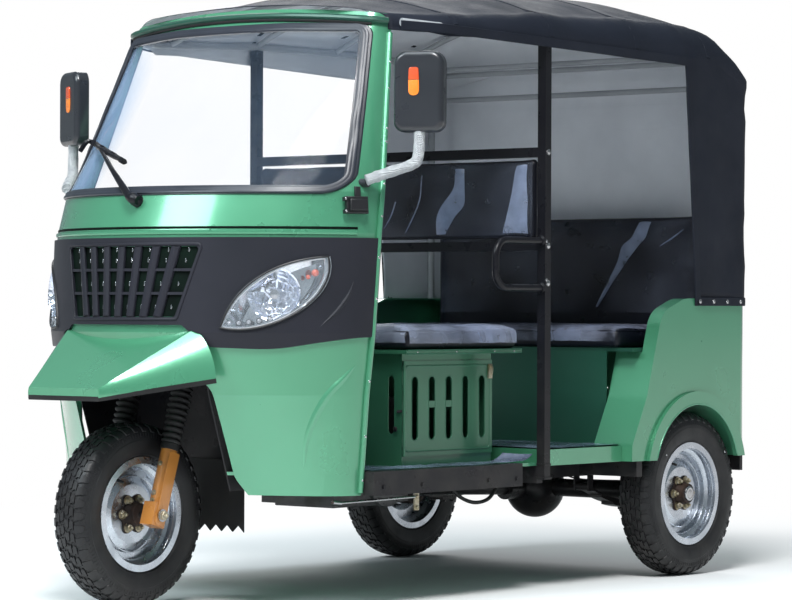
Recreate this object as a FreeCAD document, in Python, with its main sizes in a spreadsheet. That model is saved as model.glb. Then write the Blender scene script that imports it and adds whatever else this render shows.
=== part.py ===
"""Auto rickshaw: a three-wheeled passenger vehicle with a steel cab, fabric canopy and bench seats.

Frame: +Z up, the nose points to -Y, the vehicle's left side is +X. The origin is on the ground, in the
middle of the overall length and width. Lengths are millimetres, angles degrees.
"""

import FreeCAD, Part
import Sketcher
import math
import os

V = FreeCAD.Vector
doc = FreeCAD.newDocument("auto_rickshaw")

# ---------------------------------------------------------------------------
# Driving dimensions: name, value
# ---------------------------------------------------------------------------

SIZES = [
    ("wheelbase", 1982),
    ("front_overhang", 272),
    ("rear_overhang", 322),
    ("track", 1168),
    ("running_fit", 0.05),
    ("seat_gap", 0.3),
    # wheels
    ("tyre_radius", 268),
    ("tyre_width", 120),
    ("tread_width", 92),
    ("tread_drop", 10),
    ("rim_radius", 168),
    ("rim_width", 104),
    ("rim_flange", 16),
    ("rim_wall", 4),
    ("disc_offset", 8),
    ("disc_radius", 86),
    ("hub_radius", 62),
    ("hub_nose_radius", 30),
    ("hub_nose_length", 34),
    ("drum_radius", 82),
    ("drum_depth", 58),
    ("wheel_nut_radius", 9),
    ("wheel_nut_height", 11),
    ("wheel_nut_circle", 92),
    # steering
    ("rake", 17.5),
    ("fork_offset", 45),
    ("steering_lock", 35),
    ("leg_spacing", 210),
    ("leg_radius", 24),
    ("leg_length", 215),
    ("leg_below_axle", 34),
    ("stanchion_radius", 15),
    ("spring_radius", 30),
    ("crown_height", 445),
    ("crown_thickness", 28),
    ("crown_overhang", 32),
    ("stem_radius", 17),
    ("head_tube_wall", 9),
    ("head_tube_length", 150),
    ("head_tube_gap", 12),
    ("front_axle_radius", 8),
    ("handlebar_height", 812),
    ("handlebar_width", 620),
    ("handlebar_radius", 11),
    ("handlebar_sweep", 70),
    ("grip_radius", 16),
    ("grip_length", 115),
    # chassis
    ("rail_spacing", 800),
    ("rail_width", 50),
    ("rail_top", 385),
    ("rail_height", 55),
    ("rail_front", 318),
    ("rail_rear", 290),
    ("cross_member_width", 40),
    ("floor_thickness", 10),
    ("rear_floor_height", 50),
    ("sheet", 4),
    ("floor_half_width", 584.7),
    ("sill_width", 40),
    ("sill_height", 70),
    ("sill_end_gap", 140),
    ("rear_arm_width", 16),
    # cab
    ("cab_wall", 10),
    ("apron_height", 328),
    ("arch_half_width", 282),
    ("arch_foot_half_width", 330),
    ("arch_height", 668),
    ("screen_bottom", 1202),
    ("screen_top", 1726),
    ("screen_half_bottom", 582),
    ("screen_half_top", 490),
    ("screen_corner", 56),
    ("screen_arch", 10),
    ("seal_width", 26),
    ("seal_proud", 4),
    ("glass_thickness", 5),
    ("header_crown", 1774),
    ("header_side", 1747),
    ("mask_bottom", 752),
    ("mask_side_bottom", 800),
    ("mask_top", 1076),
    ("mask_thickness", 8),
    ("recess_half_width", 222),
    ("recess_top", 822),
    ("grille_bottom", 845),
    ("grille_top", 1050),
    ("grille_half_bottom", 200),
    ("grille_half_top", 262),
    ("grille_bars", 9),
    ("grille_bar_width", 27),
    ("grille_tie_height", 8),
    ("lamp_depth", 60),
    ("lens_thickness", 3),
    ("well_half_width", 262),
    ("well_top", 748),
    ("well_rear", 310),
    ("mirror_width", 150),
    ("mirror_height", 236),
    ("mirror_depth", 46),
    ("mirror_half_spread", 708),
    ("mirror_back", 473),
    ("mirror_above_screen", 300),
    ("mirror_turn", 24),
    ("mirror_arm_radius", 8),
    ("mirror_arm_drop", 106),
    ("dash_bottom", 1084),
    ("dash_top", 1186),
    ("dash_half_width", 470),
    ("dash_back", 112),
    # mudguard
    ("mudguard_rear_half", 232),
    ("mudguard_rear_top", 778),
    ("mudguard_rear_side", 296),
    ("mudguard_side_height", 655),
    ("mudguard_front_half", 140),
    ("mudguard_front_top", 641),
    ("mudguard_front_bottom", 614),
    ("mudguard_wall", 4),
    ("mudguard_rear_behind_axle", 8),
    ("mudguard_tip_bow", 2),
    ("mudguard_side_bow", 16),
    ("beak_clearance", 3),
    # cabin fittings
    ("post_before_axle", 757),
    ("post_size", 30),
    ("post_half_width", 600),
    ("post_foot", 345),
    ("bar_height_low", 1068),
    ("bar_height_high", 1359),
    ("backrest_thickness", 36),
    ("box_half_width", 450),
    ("box_front", 1270),
    ("box_length", 439),
    ("box_top", 735),
    ("tray_thickness", 12),
    ("door_thickness", 4),
    ("door_hinge_radius", 5),
    ("door_swing", 100),
    ("slot_width", 30),
    ("slot_height", 192),
    ("cushion_height", 68),
    ("cushion_half_width", 500),
    ("cushion_round", 20),
    ("cushion_overhang", 36),
    ("handle_reach", 232),
    ("handle_top", 1083),
    ("handle_bottom", 937),
    ("handle_radius", 11),
    ("rear_seat_front", 285),
    ("rear_seat_half", 572),
    ("rear_back_front", 158),
    ("rear_back_thickness", 62),
    ("rear_back_top", 1200),
    # rear body
    ("body_half_width", 656),
    ("body_skin", 6),
    ("body_return", 50),
    ("body_top", 908),
    ("lamp_proud", 8),
    ("plate_hole_radius", 3.5),
    ("plate_hole_spacing", 160),
    ("plate_height", 600),
    ("body_corner", 50),
    ("arch_radius", 244),
    ("arch_centre_height", 318),
    ("flare_width", 42),
    ("flare_proud", 12),
    ("wheelhouse_gap", 24),
    ("wheelhouse_inner", 505),
    # roof
    ("canopy_wall", 6),
    ("canopy_hem", 884),
    ("canopy_brow_half", 360),
    ("canopy_corner_half", 530),
    ("canopy_corner_rake", 100),
    ("rail_tube_radius", 12),
    ("rail_clearance", 3),
    ("rail_start", 1384),
    ("rail_end", -215),
    ("rear_bow", -160),
    ("rear_bar_low", 1613),
    ("rear_bar_high", 1701),
    ("valance_front", 1700),
    ("valance_rear", 1667),
    ("opening_foot", -8),
    ("opening_head", -72),
    # running gear
    ("axle_tube_radius", 30),
    ("spindle_radius", 17.5),
    ("differential_radius", 105),
    ("pinion_length", 160),
    ("leaf_half_length", 270),
    ("leaf_width", 50),
    ("leaf_thickness", 8),
    ("leaf_camber", 60),
    ("engine_width", 300),
    ("engine_height", 330),
    ("engine_bottom", 262),
    ("shaft_radius", 22),
    ("shaft_flange_radius", 30),
    ("silencer_radius", 42),
    ("silencer_length", 340),
    ("flap_half_width", 180),
    ("flap_top", 420),
    ("flap_bottom", 205),
    ("flap_thickness", 4),
]

# Sections of the cab from the apron's foot to the header: height, half width, distances behind the
# front axle of the nose and of the side's rear edge, and corner radius.
CAB_SECTIONS = [
    ("foot", 328, 575, 102, 372, 130),
    ("apron", 620, 590, -8, 382, 180),
    ("waist", 800, 600, -48, 397, 200),
    ("crease", 1090, 610, -23, 412, 200),
    ("cowl", 1210, 605, 22, 432, 190),
    ("brow", 1720, 510, 422, 582, 80),
    ("top", 1790, 495, 470, 606, 70),
]

# Sections of the canopy from front to rear: distance ahead of the rear axle, half width, height of
# the shoulder and rise of the crown above it, shoulder radius.
CANOPY_SECTIONS = [
    ("front", 1511, 516, 1757, 32, 34),
    ("second", 1266, 604, 1762, 76, 70),
    ("post", 757, 632, 1800, 104, 90),
    ("seat", 73, 663, 1822, 104, 115),
    ("rear", -140, 663, 1800, 92, 125),
    ("shoulder", -250, 663, 1742, 74, 115),
    ("back", -335, 663, 1665, 50, 100),
]

# Bends of the rear quarter's front edge from the top down: distance ahead of the rear axle, height
# and bend radius. Each is written to the sheet.
SIDE_EDGE_BENDS = [
    ("crest", 66, 908, 150),
    ("shoulder", 194, 862, 90),
    ("knee", 278, 590, 120),
    ("foot", 358, 436, 30),
]

sheet = doc.addObject("Spreadsheet::Sheet", "sizes")
row_number = 0


def enter(alias, value):
    """Write one driving dimension into the next row of the sheet."""
    global row_number
    row_number += 1
    sheet.set("A%d" % row_number, alias)
    sheet.set("B%d" % row_number, str(value))
    sheet.setAlias("B%d" % row_number, alias)


for alias, value in SIZES:
    enter(alias, value)
for name, height, half, nose, rear, corner in CAB_SECTIONS:
    enter("cab_%s_height" % name, height)
    enter("cab_%s_half" % name, half)
    enter("cab_%s_nose" % name, nose)
    enter("cab_%s_rear" % name, rear)
    enter("cab_%s_corner" % name, corner)
for name, ahead, half, shoulder, crown, corner in CANOPY_SECTIONS:
    enter("canopy_%s_ahead" % name, ahead)
    enter("canopy_%s_half" % name, half)
    enter("canopy_%s_shoulder" % name, shoulder)
    enter("canopy_%s_crown" % name, crown)
    enter("canopy_%s_corner" % name, corner)
for name, ahead, height, radius in SIDE_EDGE_BENDS:
    enter("edge_%s_ahead" % name, ahead)
    enter("edge_%s_height" % name, height)
    enter("edge_%s_radius" % name, radius)

# Places worked out from the driving dimensions.
PLACES = [
    ("half_length", "(sizes.front_overhang + sizes.wheelbase + sizes.rear_overhang) / 2"),
    ("front_axle", "sizes.front_overhang - half_length"),
    ("rear_axle", "half_length - sizes.rear_overhang"),
    ("axle_height", "sizes.tyre_radius"),
    ("seat_radius", "sizes.rim_radius - sizes.rim_flange"),
    ("bead_half", "sizes.rim_width / 2 - sizes.rim_wall"),
    ("disc_face", "sizes.disc_offset + sizes.rim_wall"),
    ("wheel_half_track", "sizes.track / 2"),
    ("steer_y", "front_axle + sizes.fork_offset * cos(sizes.rake)"),
    ("steer_z", "axle_height - sizes.fork_offset * sin(sizes.rake)"),
    ("leg_x", "sizes.leg_spacing / 2"),
    ("head_tube_bottom", "sizes.crown_height + sizes.crown_thickness + sizes.head_tube_gap"),
    ("head_tube_top", "head_tube_bottom + sizes.head_tube_length"),
    ("head_tube_bore", "sizes.stem_radius + sizes.running_fit"),
    ("head_tube_radius", "head_tube_bore + sizes.head_tube_wall"),
    ("rail_x", "sizes.rail_spacing / 2"),
    ("rail_bottom", "sizes.rail_top - sizes.rail_height"),
    ("rail_front_y", "front_axle + sizes.rail_front"),
    ("rail_rear_y", "rear_axle + sizes.rail_rear"),
    ("post_y", "rear_axle - sizes.post_before_axle"),
    ("floor_top", "sizes.rail_top + sizes.floor_thickness"),
    ("rear_floor_top", "sizes.rail_top + sizes.rear_floor_height"),
    ("rear_floor_y", "post_y + sizes.post_size / 2"),
    ("well_rear_y", "front_axle + sizes.well_rear"),
    ("cab_rear_y", "front_axle + sizes.cab_foot_rear"),
    ("box_front_y", "rear_axle - sizes.box_front"),
    ("box_rear_y", "box_front_y + sizes.box_length"),
    ("cushion_bottom", "sizes.box_top + sizes.tray_thickness"),
    ("cushion_top", "cushion_bottom + sizes.cushion_height"),
    ("rear_seat_y", "rear_axle - sizes.rear_seat_front"),
    ("rear_back_y", "rear_axle + sizes.rear_back_front"),
    ("body_rear_y", "half_length - sizes.lamp_proud"),
    ("body_bottom", "sizes.rail_top + sizes.seat_gap"),
    ("body_inner_x", "sizes.body_half_width - sizes.body_skin"),
    ("engine_front_y", "box_front_y + sizes.cross_member_width"),
    ("engine_rear_y", "box_rear_y - sizes.cross_member_width"),
    ("sill_front_y", "cab_rear_y"),
    ("sill_rear_y", "post_y - sizes.sill_end_gap"),
    ("sill_inner_x", "sizes.floor_half_width + sizes.seat_gap"),
    ("sill_top", "floor_top + 3"),
    ("door_bottom", "floor_top + 30"),
    ("mirror_y", "front_axle + sizes.mirror_back"),
    ("mirror_z", "sizes.screen_bottom + sizes.mirror_above_screen"),
    ("dash_rear_y", "front_axle + sizes.dash_back"),
    ("door_top", "sizes.box_top - 22"),
]

places = doc.addObject("Spreadsheet::Sheet", "places")
for number, (alias, formula) in enumerate(PLACES, 1):
    places.set("A%d" % number, alias)
    places.set("B%d" % number, "=" + formula)
    places.setAlias("B%d" % number, alias)
doc.recompute()


def size(name):
    return float(sheet.get(name))


def place(name):
    return float(places.get(name))


# ---------------------------------------------------------------------------
# Ways of making objects
# ---------------------------------------------------------------------------

NODES = []


def keep(obj, label):
    """Mark an object as a finished sub-part under its own name."""
    obj.Label = label
    NODES.append(obj)
    return obj


def bind(obj, **expressions):
    for name, expression in expressions.items():
        obj.setExpression(name.replace("__", "."), expression)
    return obj


def put(obj, along_x="0", along_y="0", along_z="0"):
    obj.setExpression("Placement.Base.x", along_x)
    obj.setExpression("Placement.Base.y", along_y)
    obj.setExpression("Placement.Base.z", along_z)
    return obj


def box(name, x_low, x_high, y_low, y_high, z_low, z_high):
    """A block between six faces, each given as an expression."""
    block = doc.addObject("Part::Box", name)
    bind(block, Length="(%s) - (%s)" % (x_high, x_low), Width="(%s) - (%s)" % (y_high, y_low),
         Height="(%s) - (%s)" % (z_high, z_low))
    return put(block, x_low, y_low, z_low)


def cylinder(name, radius, height, centre, axis="Z"):
    """A cylinder from its base centre along a main axis."""
    turn = {"X": FreeCAD.Rotation(V(0, 1, 0), 90), "Y": FreeCAD.Rotation(V(1, 0, 0), -90),
            "Z": FreeCAD.Rotation()}[axis]
    rod = doc.addObject("Part::Cylinder", name)
    rod.Placement = FreeCAD.Placement(V(), turn)
    bind(rod, Radius=radius, Height=height)
    return put(rod, *centre)


def fuse(name, parts):
    joined = doc.addObject("Part::MultiFuse", name)
    joined.Shapes = parts
    joined.Refine = True
    return joined


def cut(name, base, tool):
    result = doc.addObject("Part::Cut", name)
    result.Base = base
    result.Tool = tool
    return result


def mirrored(name, source):
    twin = doc.addObject("Part::Mirroring", name)
    twin.Source = source
    twin.Normal = V(1, 0, 0)
    return twin


def group(name, parts):
    together = doc.addObject("Part::Compound", name)
    together.Links = parts
    return together


def both_sides(name, left):
    """The left piece and its mirror image, as two solids."""
    return group(name, [left, mirrored(name + "_mirror", left)])


def feature(name, shape):
    """A sub-part whose shape is worked out from the sheet in this file."""
    obj = doc.addObject("Part::Feature", name)
    obj.Shape = shape
    obj.Placement = FreeCAD.Placement()
    return obj


def origin_plane(body, role):
    return next(item for item in body.Origin.OriginFeatures if item.Role == role)


def outline(body, name, role, corners):
    """A closed sketch of straight lines, each corner's two coordinates bound to the sheet."""
    sketch = body.newObject("Sketcher::SketchObject", name)
    sketch.AttachmentSupport = [(origin_plane(body, role), "")]
    sketch.MapMode = "FlatFace"
    count = len(corners)
    ring = [V(math.cos(2 * math.pi * i / count), math.sin(2 * math.pi * i / count), 0) for i in range(count)]
    for i in range(count):
        sketch.addGeometry(Part.LineSegment(ring[i], ring[(i + 1) % count]), False)
    for i in range(count):
        sketch.addConstraint(Sketcher.Constraint("Coincident", i, 2, (i + 1) % count, 1))
    for i, (across, up) in enumerate(corners):
        for kind, expression in (("DistanceX", across), ("DistanceY", up)):
            number = sketch.addConstraint(Sketcher.Constraint(kind, -1, 1, i, 1, 1.0))
            sketch.setExpression("Constraints[%d]" % number, expression)
    return sketch


def new_body(name):
    return doc.addObject("PartDesign::Body", name)


def pad(body, sketch, length, side="Symmetric"):
    solid = body.newObject("PartDesign::Pad", sketch.Name + "_pad")
    solid.Profile = sketch
    solid.SideType = side
    solid.setExpression("Length", length)
    return solid


def revolve(body, sketch, axis_name):
    solid = body.newObject("PartDesign::Revolution", sketch.Name + "_turned")
    solid.Profile = sketch
    solid.ReferenceAxis = (sketch, [axis_name])
    solid.Angle = 360
    return solid


def round_edges(body, base, radius, chosen):
    """Fillet the edges of a feature that a test picks out."""
    doc.recompute()
    names = ["Edge%d" % (i + 1) for i, edge in enumerate(base.Shape.Edges) if chosen(edge)]
    rounded = body.newObject("PartDesign::Fillet", base.Name + "_rounded")
    rounded.Base = (base, names)
    rounded.setExpression("Radius", radius)
    return rounded


def arc(start, middle, end):
    return Part.Arc(start, middle, end).toShape()


def line(start, end):
    return Part.LineSegment(start, end).toShape()


def rounded_polygon(corners):
    """A closed wire through (point, radius) corners, each turned by an arc of its radius."""
    count = len(corners)
    stops = []
    for i, (point, radius) in enumerate(corners):
        before = (corners[i - 1][0] - point).normalize()
        after = (corners[(i + 1) % count][0] - point).normalize()
        if radius <= 0:
            stops.append((point, None, point))
            continue
        half = before.getAngle(after) / 2
        reach = radius / math.tan(half)
        towards = (before + after).normalize()
        middle = point + towards * (radius / math.sin(half) - radius)
        stops.append((point + before * reach, middle, point + after * reach))
    edges = []
    for i, (first, middle, last) in enumerate(stops):
        if middle is not None:
            edges.append(arc(first, middle, last))
        following = stops[(i + 1) % count][0]
        if last.distanceToPoint(following) > 1e-4:
            edges.append(line(last, following))
    return Part.Wire(edges)


def prism(corners, direction):
    """A solid from a closed outline of (point, radius) corners, extruded along a vector."""
    return Part.Face(rounded_polygon(corners)).extrude(direction)


def front_prism(corners, y_low, y_high):
    """Extrude an outline of (x, z, radius) corners along Y."""
    return prism([(V(x, y_low, z), r) for x, z, r in corners], V(0, y_high - y_low, 0))


def side_prism(corners, x_low, x_high):
    """Extrude an outline of (y, z, radius) corners along X."""
    return prism([(V(x_low, y, z), r) for y, z, r in corners], V(x_high - x_low, 0, 0))


def block(x_low, x_high, y_low, y_high, z_low, z_high):
    return Part.makeBox(x_high - x_low, y_high - y_low, z_high - z_low, V(x_low, y_low, z_low))


def mirror_x(shape):
    return shape.mirror(V(0, 0, 0), V(1, 0, 0))


def tube(points, radius, bend, inner=0):
    """A round bar or tube along straight runs joined by arcs of one bend radius."""
    points = [V(*p) for p in points]
    edges = []
    start = points[0]
    for before, corner, after in zip(points, points[1:], points[2:]):
        back = (before - corner).normalize()
        ahead = (after - corner).normalize()
        half = back.getAngle(ahead) / 2
        reach = bend / math.tan(half)
        first = corner + back * reach
        last = corner + ahead * reach
        middle = corner + (back + ahead).normalize() * (bend / math.sin(half) - bend)
        edges.append(line(start, first))
        edges.append(arc(first, middle, last))
        start = last
    edges.append(line(start, points[-1]))
    path = Part.Wire(edges)
    along = points[1] - points[0]
    ring = Part.Wire(Part.makeCircle(radius, points[0], along))
    solid = path.makePipeShell([ring], True, False)
    if inner:
        hole = path.makePipeShell([Part.Wire(Part.makeCircle(inner, points[0], along))], True, False)
        solid = solid.cut(hole)
    return solid


def rod(start, end, radius):
    run = V(*end) - V(*start)
    return Part.makeCylinder(radius, run.Length, V(*start), run)


# ---------------------------------------------------------------------------
# Wheels
# ---------------------------------------------------------------------------

WHEELS = [
    # name, x, y, heading about Z so that the dish faces outwards
    ("front", "0", "places.front_axle", 0),
    ("rear_left", "places.wheel_half_track", "places.rear_axle", 0),
    ("rear_right", "-places.wheel_half_track", "places.rear_axle", 180),
]


def stand_wheel(body, along_x, along_y, heading):
    body.Placement = FreeCAD.Placement(V(), FreeCAD.Rotation(V(0, 0, 1), heading))
    put(body, along_x, along_y, "places.axle_height")


def make_tyre(name, along_x, along_y, heading):
    body = new_body(name + "_tyre")
    mid = "(sizes.rim_radius + sizes.tyre_radius) / 2"
    right = [
        ("places.bead_half - sizes.seat_gap", "places.seat_radius + sizes.seat_gap"),
        ("places.bead_half - sizes.seat_gap", "sizes.rim_radius + sizes.rim_wall"),
        ("sizes.tyre_width / 2", mid),
        ("sizes.tread_width / 2", "sizes.tyre_radius - sizes.tread_drop"),
        ("sizes.tread_width / 4", "sizes.tyre_radius"),
    ]
    left = [("-(%s)" % across, up) for across, up in reversed(right)]
    sketch = outline(body, name + "_tyre_section", "XZ_Plane", right + left)
    turned = revolve(body, sketch, "H_Axis")
    widest = size("tyre_width") / 2
    round_edges(body, turned, "sizes.tyre_width / 5",
                lambda edge: abs(abs(edge.CenterOfMass.x) - widest) < 1 and len(edge.Vertexes) == 1)
    stand_wheel(body, along_x, along_y, heading)
    keep(body, name + "_tyre")


def make_rim(name, along_x, along_y, heading):
    body = new_body(name + "_rim")
    half = "sizes.rim_width / 2"
    well = "(places.seat_radius - 14)"
    wall = "sizes.rim_wall"
    corners = [
        ("-" + half, "sizes.rim_radius"), ("-places.bead_half", "sizes.rim_radius"),
        ("-places.bead_half", "places.seat_radius"), ("-20", "places.seat_radius"),
        ("-12", well), ("12", well),
        ("20", "places.seat_radius"), ("places.bead_half", "places.seat_radius"),
        ("places.bead_half", "sizes.rim_radius"), (half, "sizes.rim_radius"),
        (half, "places.seat_radius - %s" % wall), ("23", "places.seat_radius - %s" % wall),
        ("15", well + " - " + wall), ("4", well + " - " + wall),
        ("4", "sizes.disc_radius + 22"), ("places.disc_face", "sizes.disc_radius"),
        ("places.disc_face", "sizes.hub_nose_radius + sizes.seat_gap"),
        ("sizes.disc_offset", "sizes.hub_nose_radius + sizes.seat_gap"),
        ("sizes.disc_offset", "sizes.disc_radius - 2"), ("0", "sizes.disc_radius + 20"),
        ("0", well + " - " + wall), ("-15", well + " - " + wall),
        ("-23", "places.seat_radius - %s" % wall), ("-" + half, "places.seat_radius - %s" % wall),
    ]
    sketch = outline(body, name + "_rim_section", "XZ_Plane", corners)
    revolve(body, sketch, "H_Axis")
    stand_wheel(body, along_x, along_y, heading)
    keep(body, name + "_rim")


def make_hub(name, along_x, along_y, heading, bore, through):
    """Brake drum, flange and nose; the rear hub's nose is closed by its cap."""
    body = new_body(name + "_drum")
    nose = "(places.disc_face + sizes.hub_nose_length)"
    inner_end = "-sizes.drum_depth"
    corners = [
        (inner_end, bore), (inner_end, "sizes.drum_radius"), ("-6", "sizes.drum_radius"),
        ("-6", "sizes.hub_radius"), ("sizes.disc_offset", "sizes.hub_radius"),
        ("sizes.disc_offset", "sizes.hub_nose_radius"), (nose, "sizes.hub_nose_radius"),
    ]
    if through:
        corners += [(nose, bore)]
    else:
        corners += [(nose, "0"), (nose + " - 8", "0"), (nose + " - 8", bore)]
    sketch = outline(body, name + "_hub_section", "XZ_Plane", corners)
    revolve(body, sketch, "H_Axis")
    stand_wheel(body, along_x, along_y, heading)
    nuts = new_body(name + "_nuts")
    first = nuts.newObject("PartDesign::AdditiveCylinder", name + "_nut")
    first.AttachmentSupport = [(origin_plane(nuts, "YZ_Plane"), "")]
    first.MapMode = "FlatFace"
    bind(first, Radius="sizes.wheel_nut_radius", Height="sizes.wheel_nut_height",
         AttachmentOffset__Base__x="sizes.wheel_nut_circle / 2", AttachmentOffset__Base__z="places.disc_face")
    ring = nuts.newObject("PartDesign::PolarPattern", name + "_nut_ring")
    ring.Originals = [first]
    ring.Axis = (origin_plane(nuts, "X_Axis"), [""])
    ring.Angle = 360
    ring.Occurrences = 6
    nuts.Tip = ring
    stand_wheel(nuts, along_x, along_y, heading)
    keep(group(name + "_hub_with_nuts", [body, nuts]), name + "_hub")


def make_wheels():
    for name, along_x, along_y, heading in WHEELS:
        front = name == "front"
        bore = "sizes.front_axle_radius" if front else "sizes.spindle_radius"
        make_tyre(name, along_x, along_y, heading)
        make_rim(name, along_x, along_y, heading)
        make_hub(name, along_x, along_y, heading, bore + " + sizes.running_fit", front)


# ---------------------------------------------------------------------------
# Steering: made upright about its own axis, then laid back by the rake
# ---------------------------------------------------------------------------


def lay_back(obj):
    """Place a piece made upright about the steering axis at the real rake."""
    obj.Placement = FreeCAD.Placement(V(), FreeCAD.Rotation(V(1, 0, 0), -size("rake")))
    return put(obj, "0", "places.steer_y", "places.steer_z")


def steering_feature(name, shape):
    obj = feature(name, shape)
    lay_back(obj)
    return keep(obj, name)


def make_fork_legs():
    leg_x = place("leg_x")
    back = size("fork_offset")
    low = -size("leg_below_axle")
    radius = size("leg_radius")
    bore = size("front_axle_radius") + size("running_fit")
    leg = Part.makeCylinder(radius, size("leg_length") - low, V(leg_x, -back, low))
    lug = block(leg_x - radius, leg_x + radius, -back - radius - 6, -back + radius, low, -low)
    hole = Part.makeCylinder(bore, 4 * radius, V(leg_x - 2 * radius, -back, 0), V(1, 0, 0))
    left = leg.fuse(lug).removeSplitter().cut(hole)
    steering_feature("fork_legs", Part.makeCompound([left, mirror_x(left)]))


def make_fork_springs():
    """Stanchions from the lower legs to the yoke, inside springs under rubber bellows."""
    leg_x = place("leg_x")
    back = size("fork_offset")
    low = size("leg_length")
    top = size("crown_height")
    coils = 9
    pitch = (top - low) / coils
    solids = []
    for side in (1, -1):
        column = Part.makeCylinder(size("stanchion_radius") + 6, top - low, V(side * leg_x, -back, low))
        for turn in range(coils):
            ring = Part.makeCylinder(size("spring_radius"), pitch * 0.55, V(side * leg_x, -back, low + turn * pitch))
            column = column.fuse(ring)
        solids.append(column.removeSplitter())
    steering_feature("fork_springs", Part.makeCompound(solids))


def make_fork_crown():
    """Yoke plate and steering stem."""
    leg_x = place("leg_x")
    back = size("fork_offset")
    low = size("crown_height")
    high = low + size("crown_thickness")
    over = size("crown_overhang")
    corner = over * 0.9
    corners = [(V(-leg_x - over, -back - over, low), corner), (V(leg_x + over, -back - over, low), corner),
               (V(leg_x + over, -back + over, low), corner), (V(over, over, low), corner / 2),
               (V(-over, over, low), corner / 2), (V(-leg_x - over, -back + over, low), corner)]
    plate = prism(corners, V(0, 0, high - low))
    stem = Part.makeCylinder(size("stem_radius"), size("handlebar_height") - high, V(0, 0, high))
    steering_feature("fork_crown", plate.fuse(stem).removeSplitter())


def make_front_axle():
    half = place("leg_x") + size("leg_radius") + 14
    radius = size("front_axle_radius")
    back = size("fork_offset")
    shaft = Part.makeCylinder(radius, 2 * half, V(-half, -back, 0), V(1, 0, 0))
    start = place("leg_x") + size("leg_radius")
    for side in (1, -1):
        nut = Part.makeCylinder(radius + 6, 9, V(side * start, -back, 0), V(side, 0, 0))
        shaft = shaft.fuse(nut)
    steering_feature("front_axle", shaft.removeSplitter())


def make_handlebar():
    """Bar with swept ends, rubber grips and the clamp on the stem."""
    half = size("handlebar_width") / 2
    height = size("handlebar_height")
    sweep = size("handlebar_sweep")
    radius = size("handlebar_radius")
    clamp = block(-30, 30, -24, 24, height, height + 34)
    middle = height + 34 + radius
    path = [(-half, sweep, middle), (-half * 0.45, 0, middle), (half * 0.45, 0, middle), (half, sweep, middle)]
    bar = tube(path, radius, 60)
    saddle = block(-30, 30, -radius, radius, height + 34, middle)
    across = V(half * 0.55, sweep, 0).normalize()
    grips = []
    for side in (1, -1):
        along = V(side * across.x, across.y, 0)
        end = V(side * half, sweep, middle)
        grips.append(Part.makeCylinder(size("grip_radius"), size("grip_length"), end - along * size("grip_length"), along))
    shape = clamp.fuse([saddle, bar] + grips).removeSplitter()
    steering_feature("handlebar", shape)


# ---------------------------------------------------------------------------
# Chassis and floor
# ---------------------------------------------------------------------------


def steering_point(along, back=0.0, across=0.0):
    """A point given along the steering axis, behind it and across it, in the vehicle's frame."""
    turn = FreeCAD.Rotation(V(1, 0, 0), -size("rake"))
    return V(0, place("steer_y"), place("steer_z")) + turn.multVec(V(across, back, along))


def make_head_tube():
    low = place("head_tube_bottom")
    length = size("head_tube_length")
    outer = Part.makeCylinder(place("head_tube_radius"), length, V(0, 0, low))
    inner = Part.makeCylinder(place("head_tube_bore"), length, V(0, 0, low))
    shape = outer.cut(inner)
    shape.Placement = FreeCAD.Placement(V(0, place("steer_y"), place("steer_z")),
                                        FreeCAD.Rotation(V(1, 0, 0), -size("rake")))
    return shape


def make_neck():
    """Head tube and the two tubes that carry it from the front cross member."""
    head = make_head_tube()
    bore = Part.makeCylinder(place("head_tube_bore"), size("head_tube_length") * 3,
                             steering_point(place("head_tube_bottom") - size("head_tube_length")),
                             steering_point(1) - steering_point(0))
    radius = 19
    wall_y = place("well_rear_y") + radius + 8
    joint = steering_point(place("head_tube_bottom") + 0.6 * size("head_tube_length"))
    foot_z = size("rail_top") - 20
    runs = []
    for side in (1, -1):
        runs.append(tube([(0, joint.y, joint.z), (side * 40, wall_y, joint.z - 10), (side * 150, wall_y, foot_z)], radius, 40))
    return head.fuse(runs).cut(bore)


def make_chassis_frame():
    rail_x = place("rail_x")
    half = size("rail_width") / 2
    low = place("rail_bottom")
    top = size("rail_top")
    front = place("rail_front_y")
    rear = place("rail_rear_y")
    width = size("cross_member_width")
    rails = [block(s * rail_x - half, s * rail_x + half, front, rear, low, top) for s in (1, -1)]
    members = [front, place("box_front_y"), place("engine_rear_y"), place("rear_floor_y") + 240, rear - width]
    crosses = [block(-rail_x, rail_x, y, y + width, low, top) for y in members]
    post_y = place("post_y")
    inner_post = size("post_half_width") - size("post_size") / 2
    outriggers = [block(-inner_post, inner_post, post_y - 15, post_y + 15, low, top)]
    bearer_top = place("rear_floor_top") - size("floor_thickness")
    bearers = [block(-rail_x - half, rail_x + half, y, y + 30, top, bearer_top)
               for y in (place("rear_floor_y") + 30, place("rear_seat_y") - 40)]
    sill_in = place("sill_inner_x")
    sill_out = sill_in + size("sill_width")
    side_pieces = [block(sill_in, sill_out, place("sill_front_y"), place("sill_rear_y"), place("sill_top") - size("sill_height"),
                         place("sill_top"))]
    for y in (place("sill_front_y") + 10, place("box_front_y")):
        side_pieces.append(block(rail_x, sill_in, y, y + width, low + 5, top))
    for y_low, y_high in ((place("rear_seat_y") - 40, place("rear_seat_y") - 10), (rear - size("rear_arm_width"), rear)):
        side_pieces.append(block(rail_x, place("body_inner_x"), y_low, y_high, low + 5, top))
    side_pieces += [mirror_x(piece) for piece in side_pieces]
    shape = rails[0].fuse([rails[1]] + crosses + outriggers + bearers + side_pieces)
    shape = shape.fuse(make_neck()).removeSplitter()
    keep(feature("chassis_frame", shape), "chassis_frame")


# ---------------------------------------------------------------------------
# Cab
# ---------------------------------------------------------------------------


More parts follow.
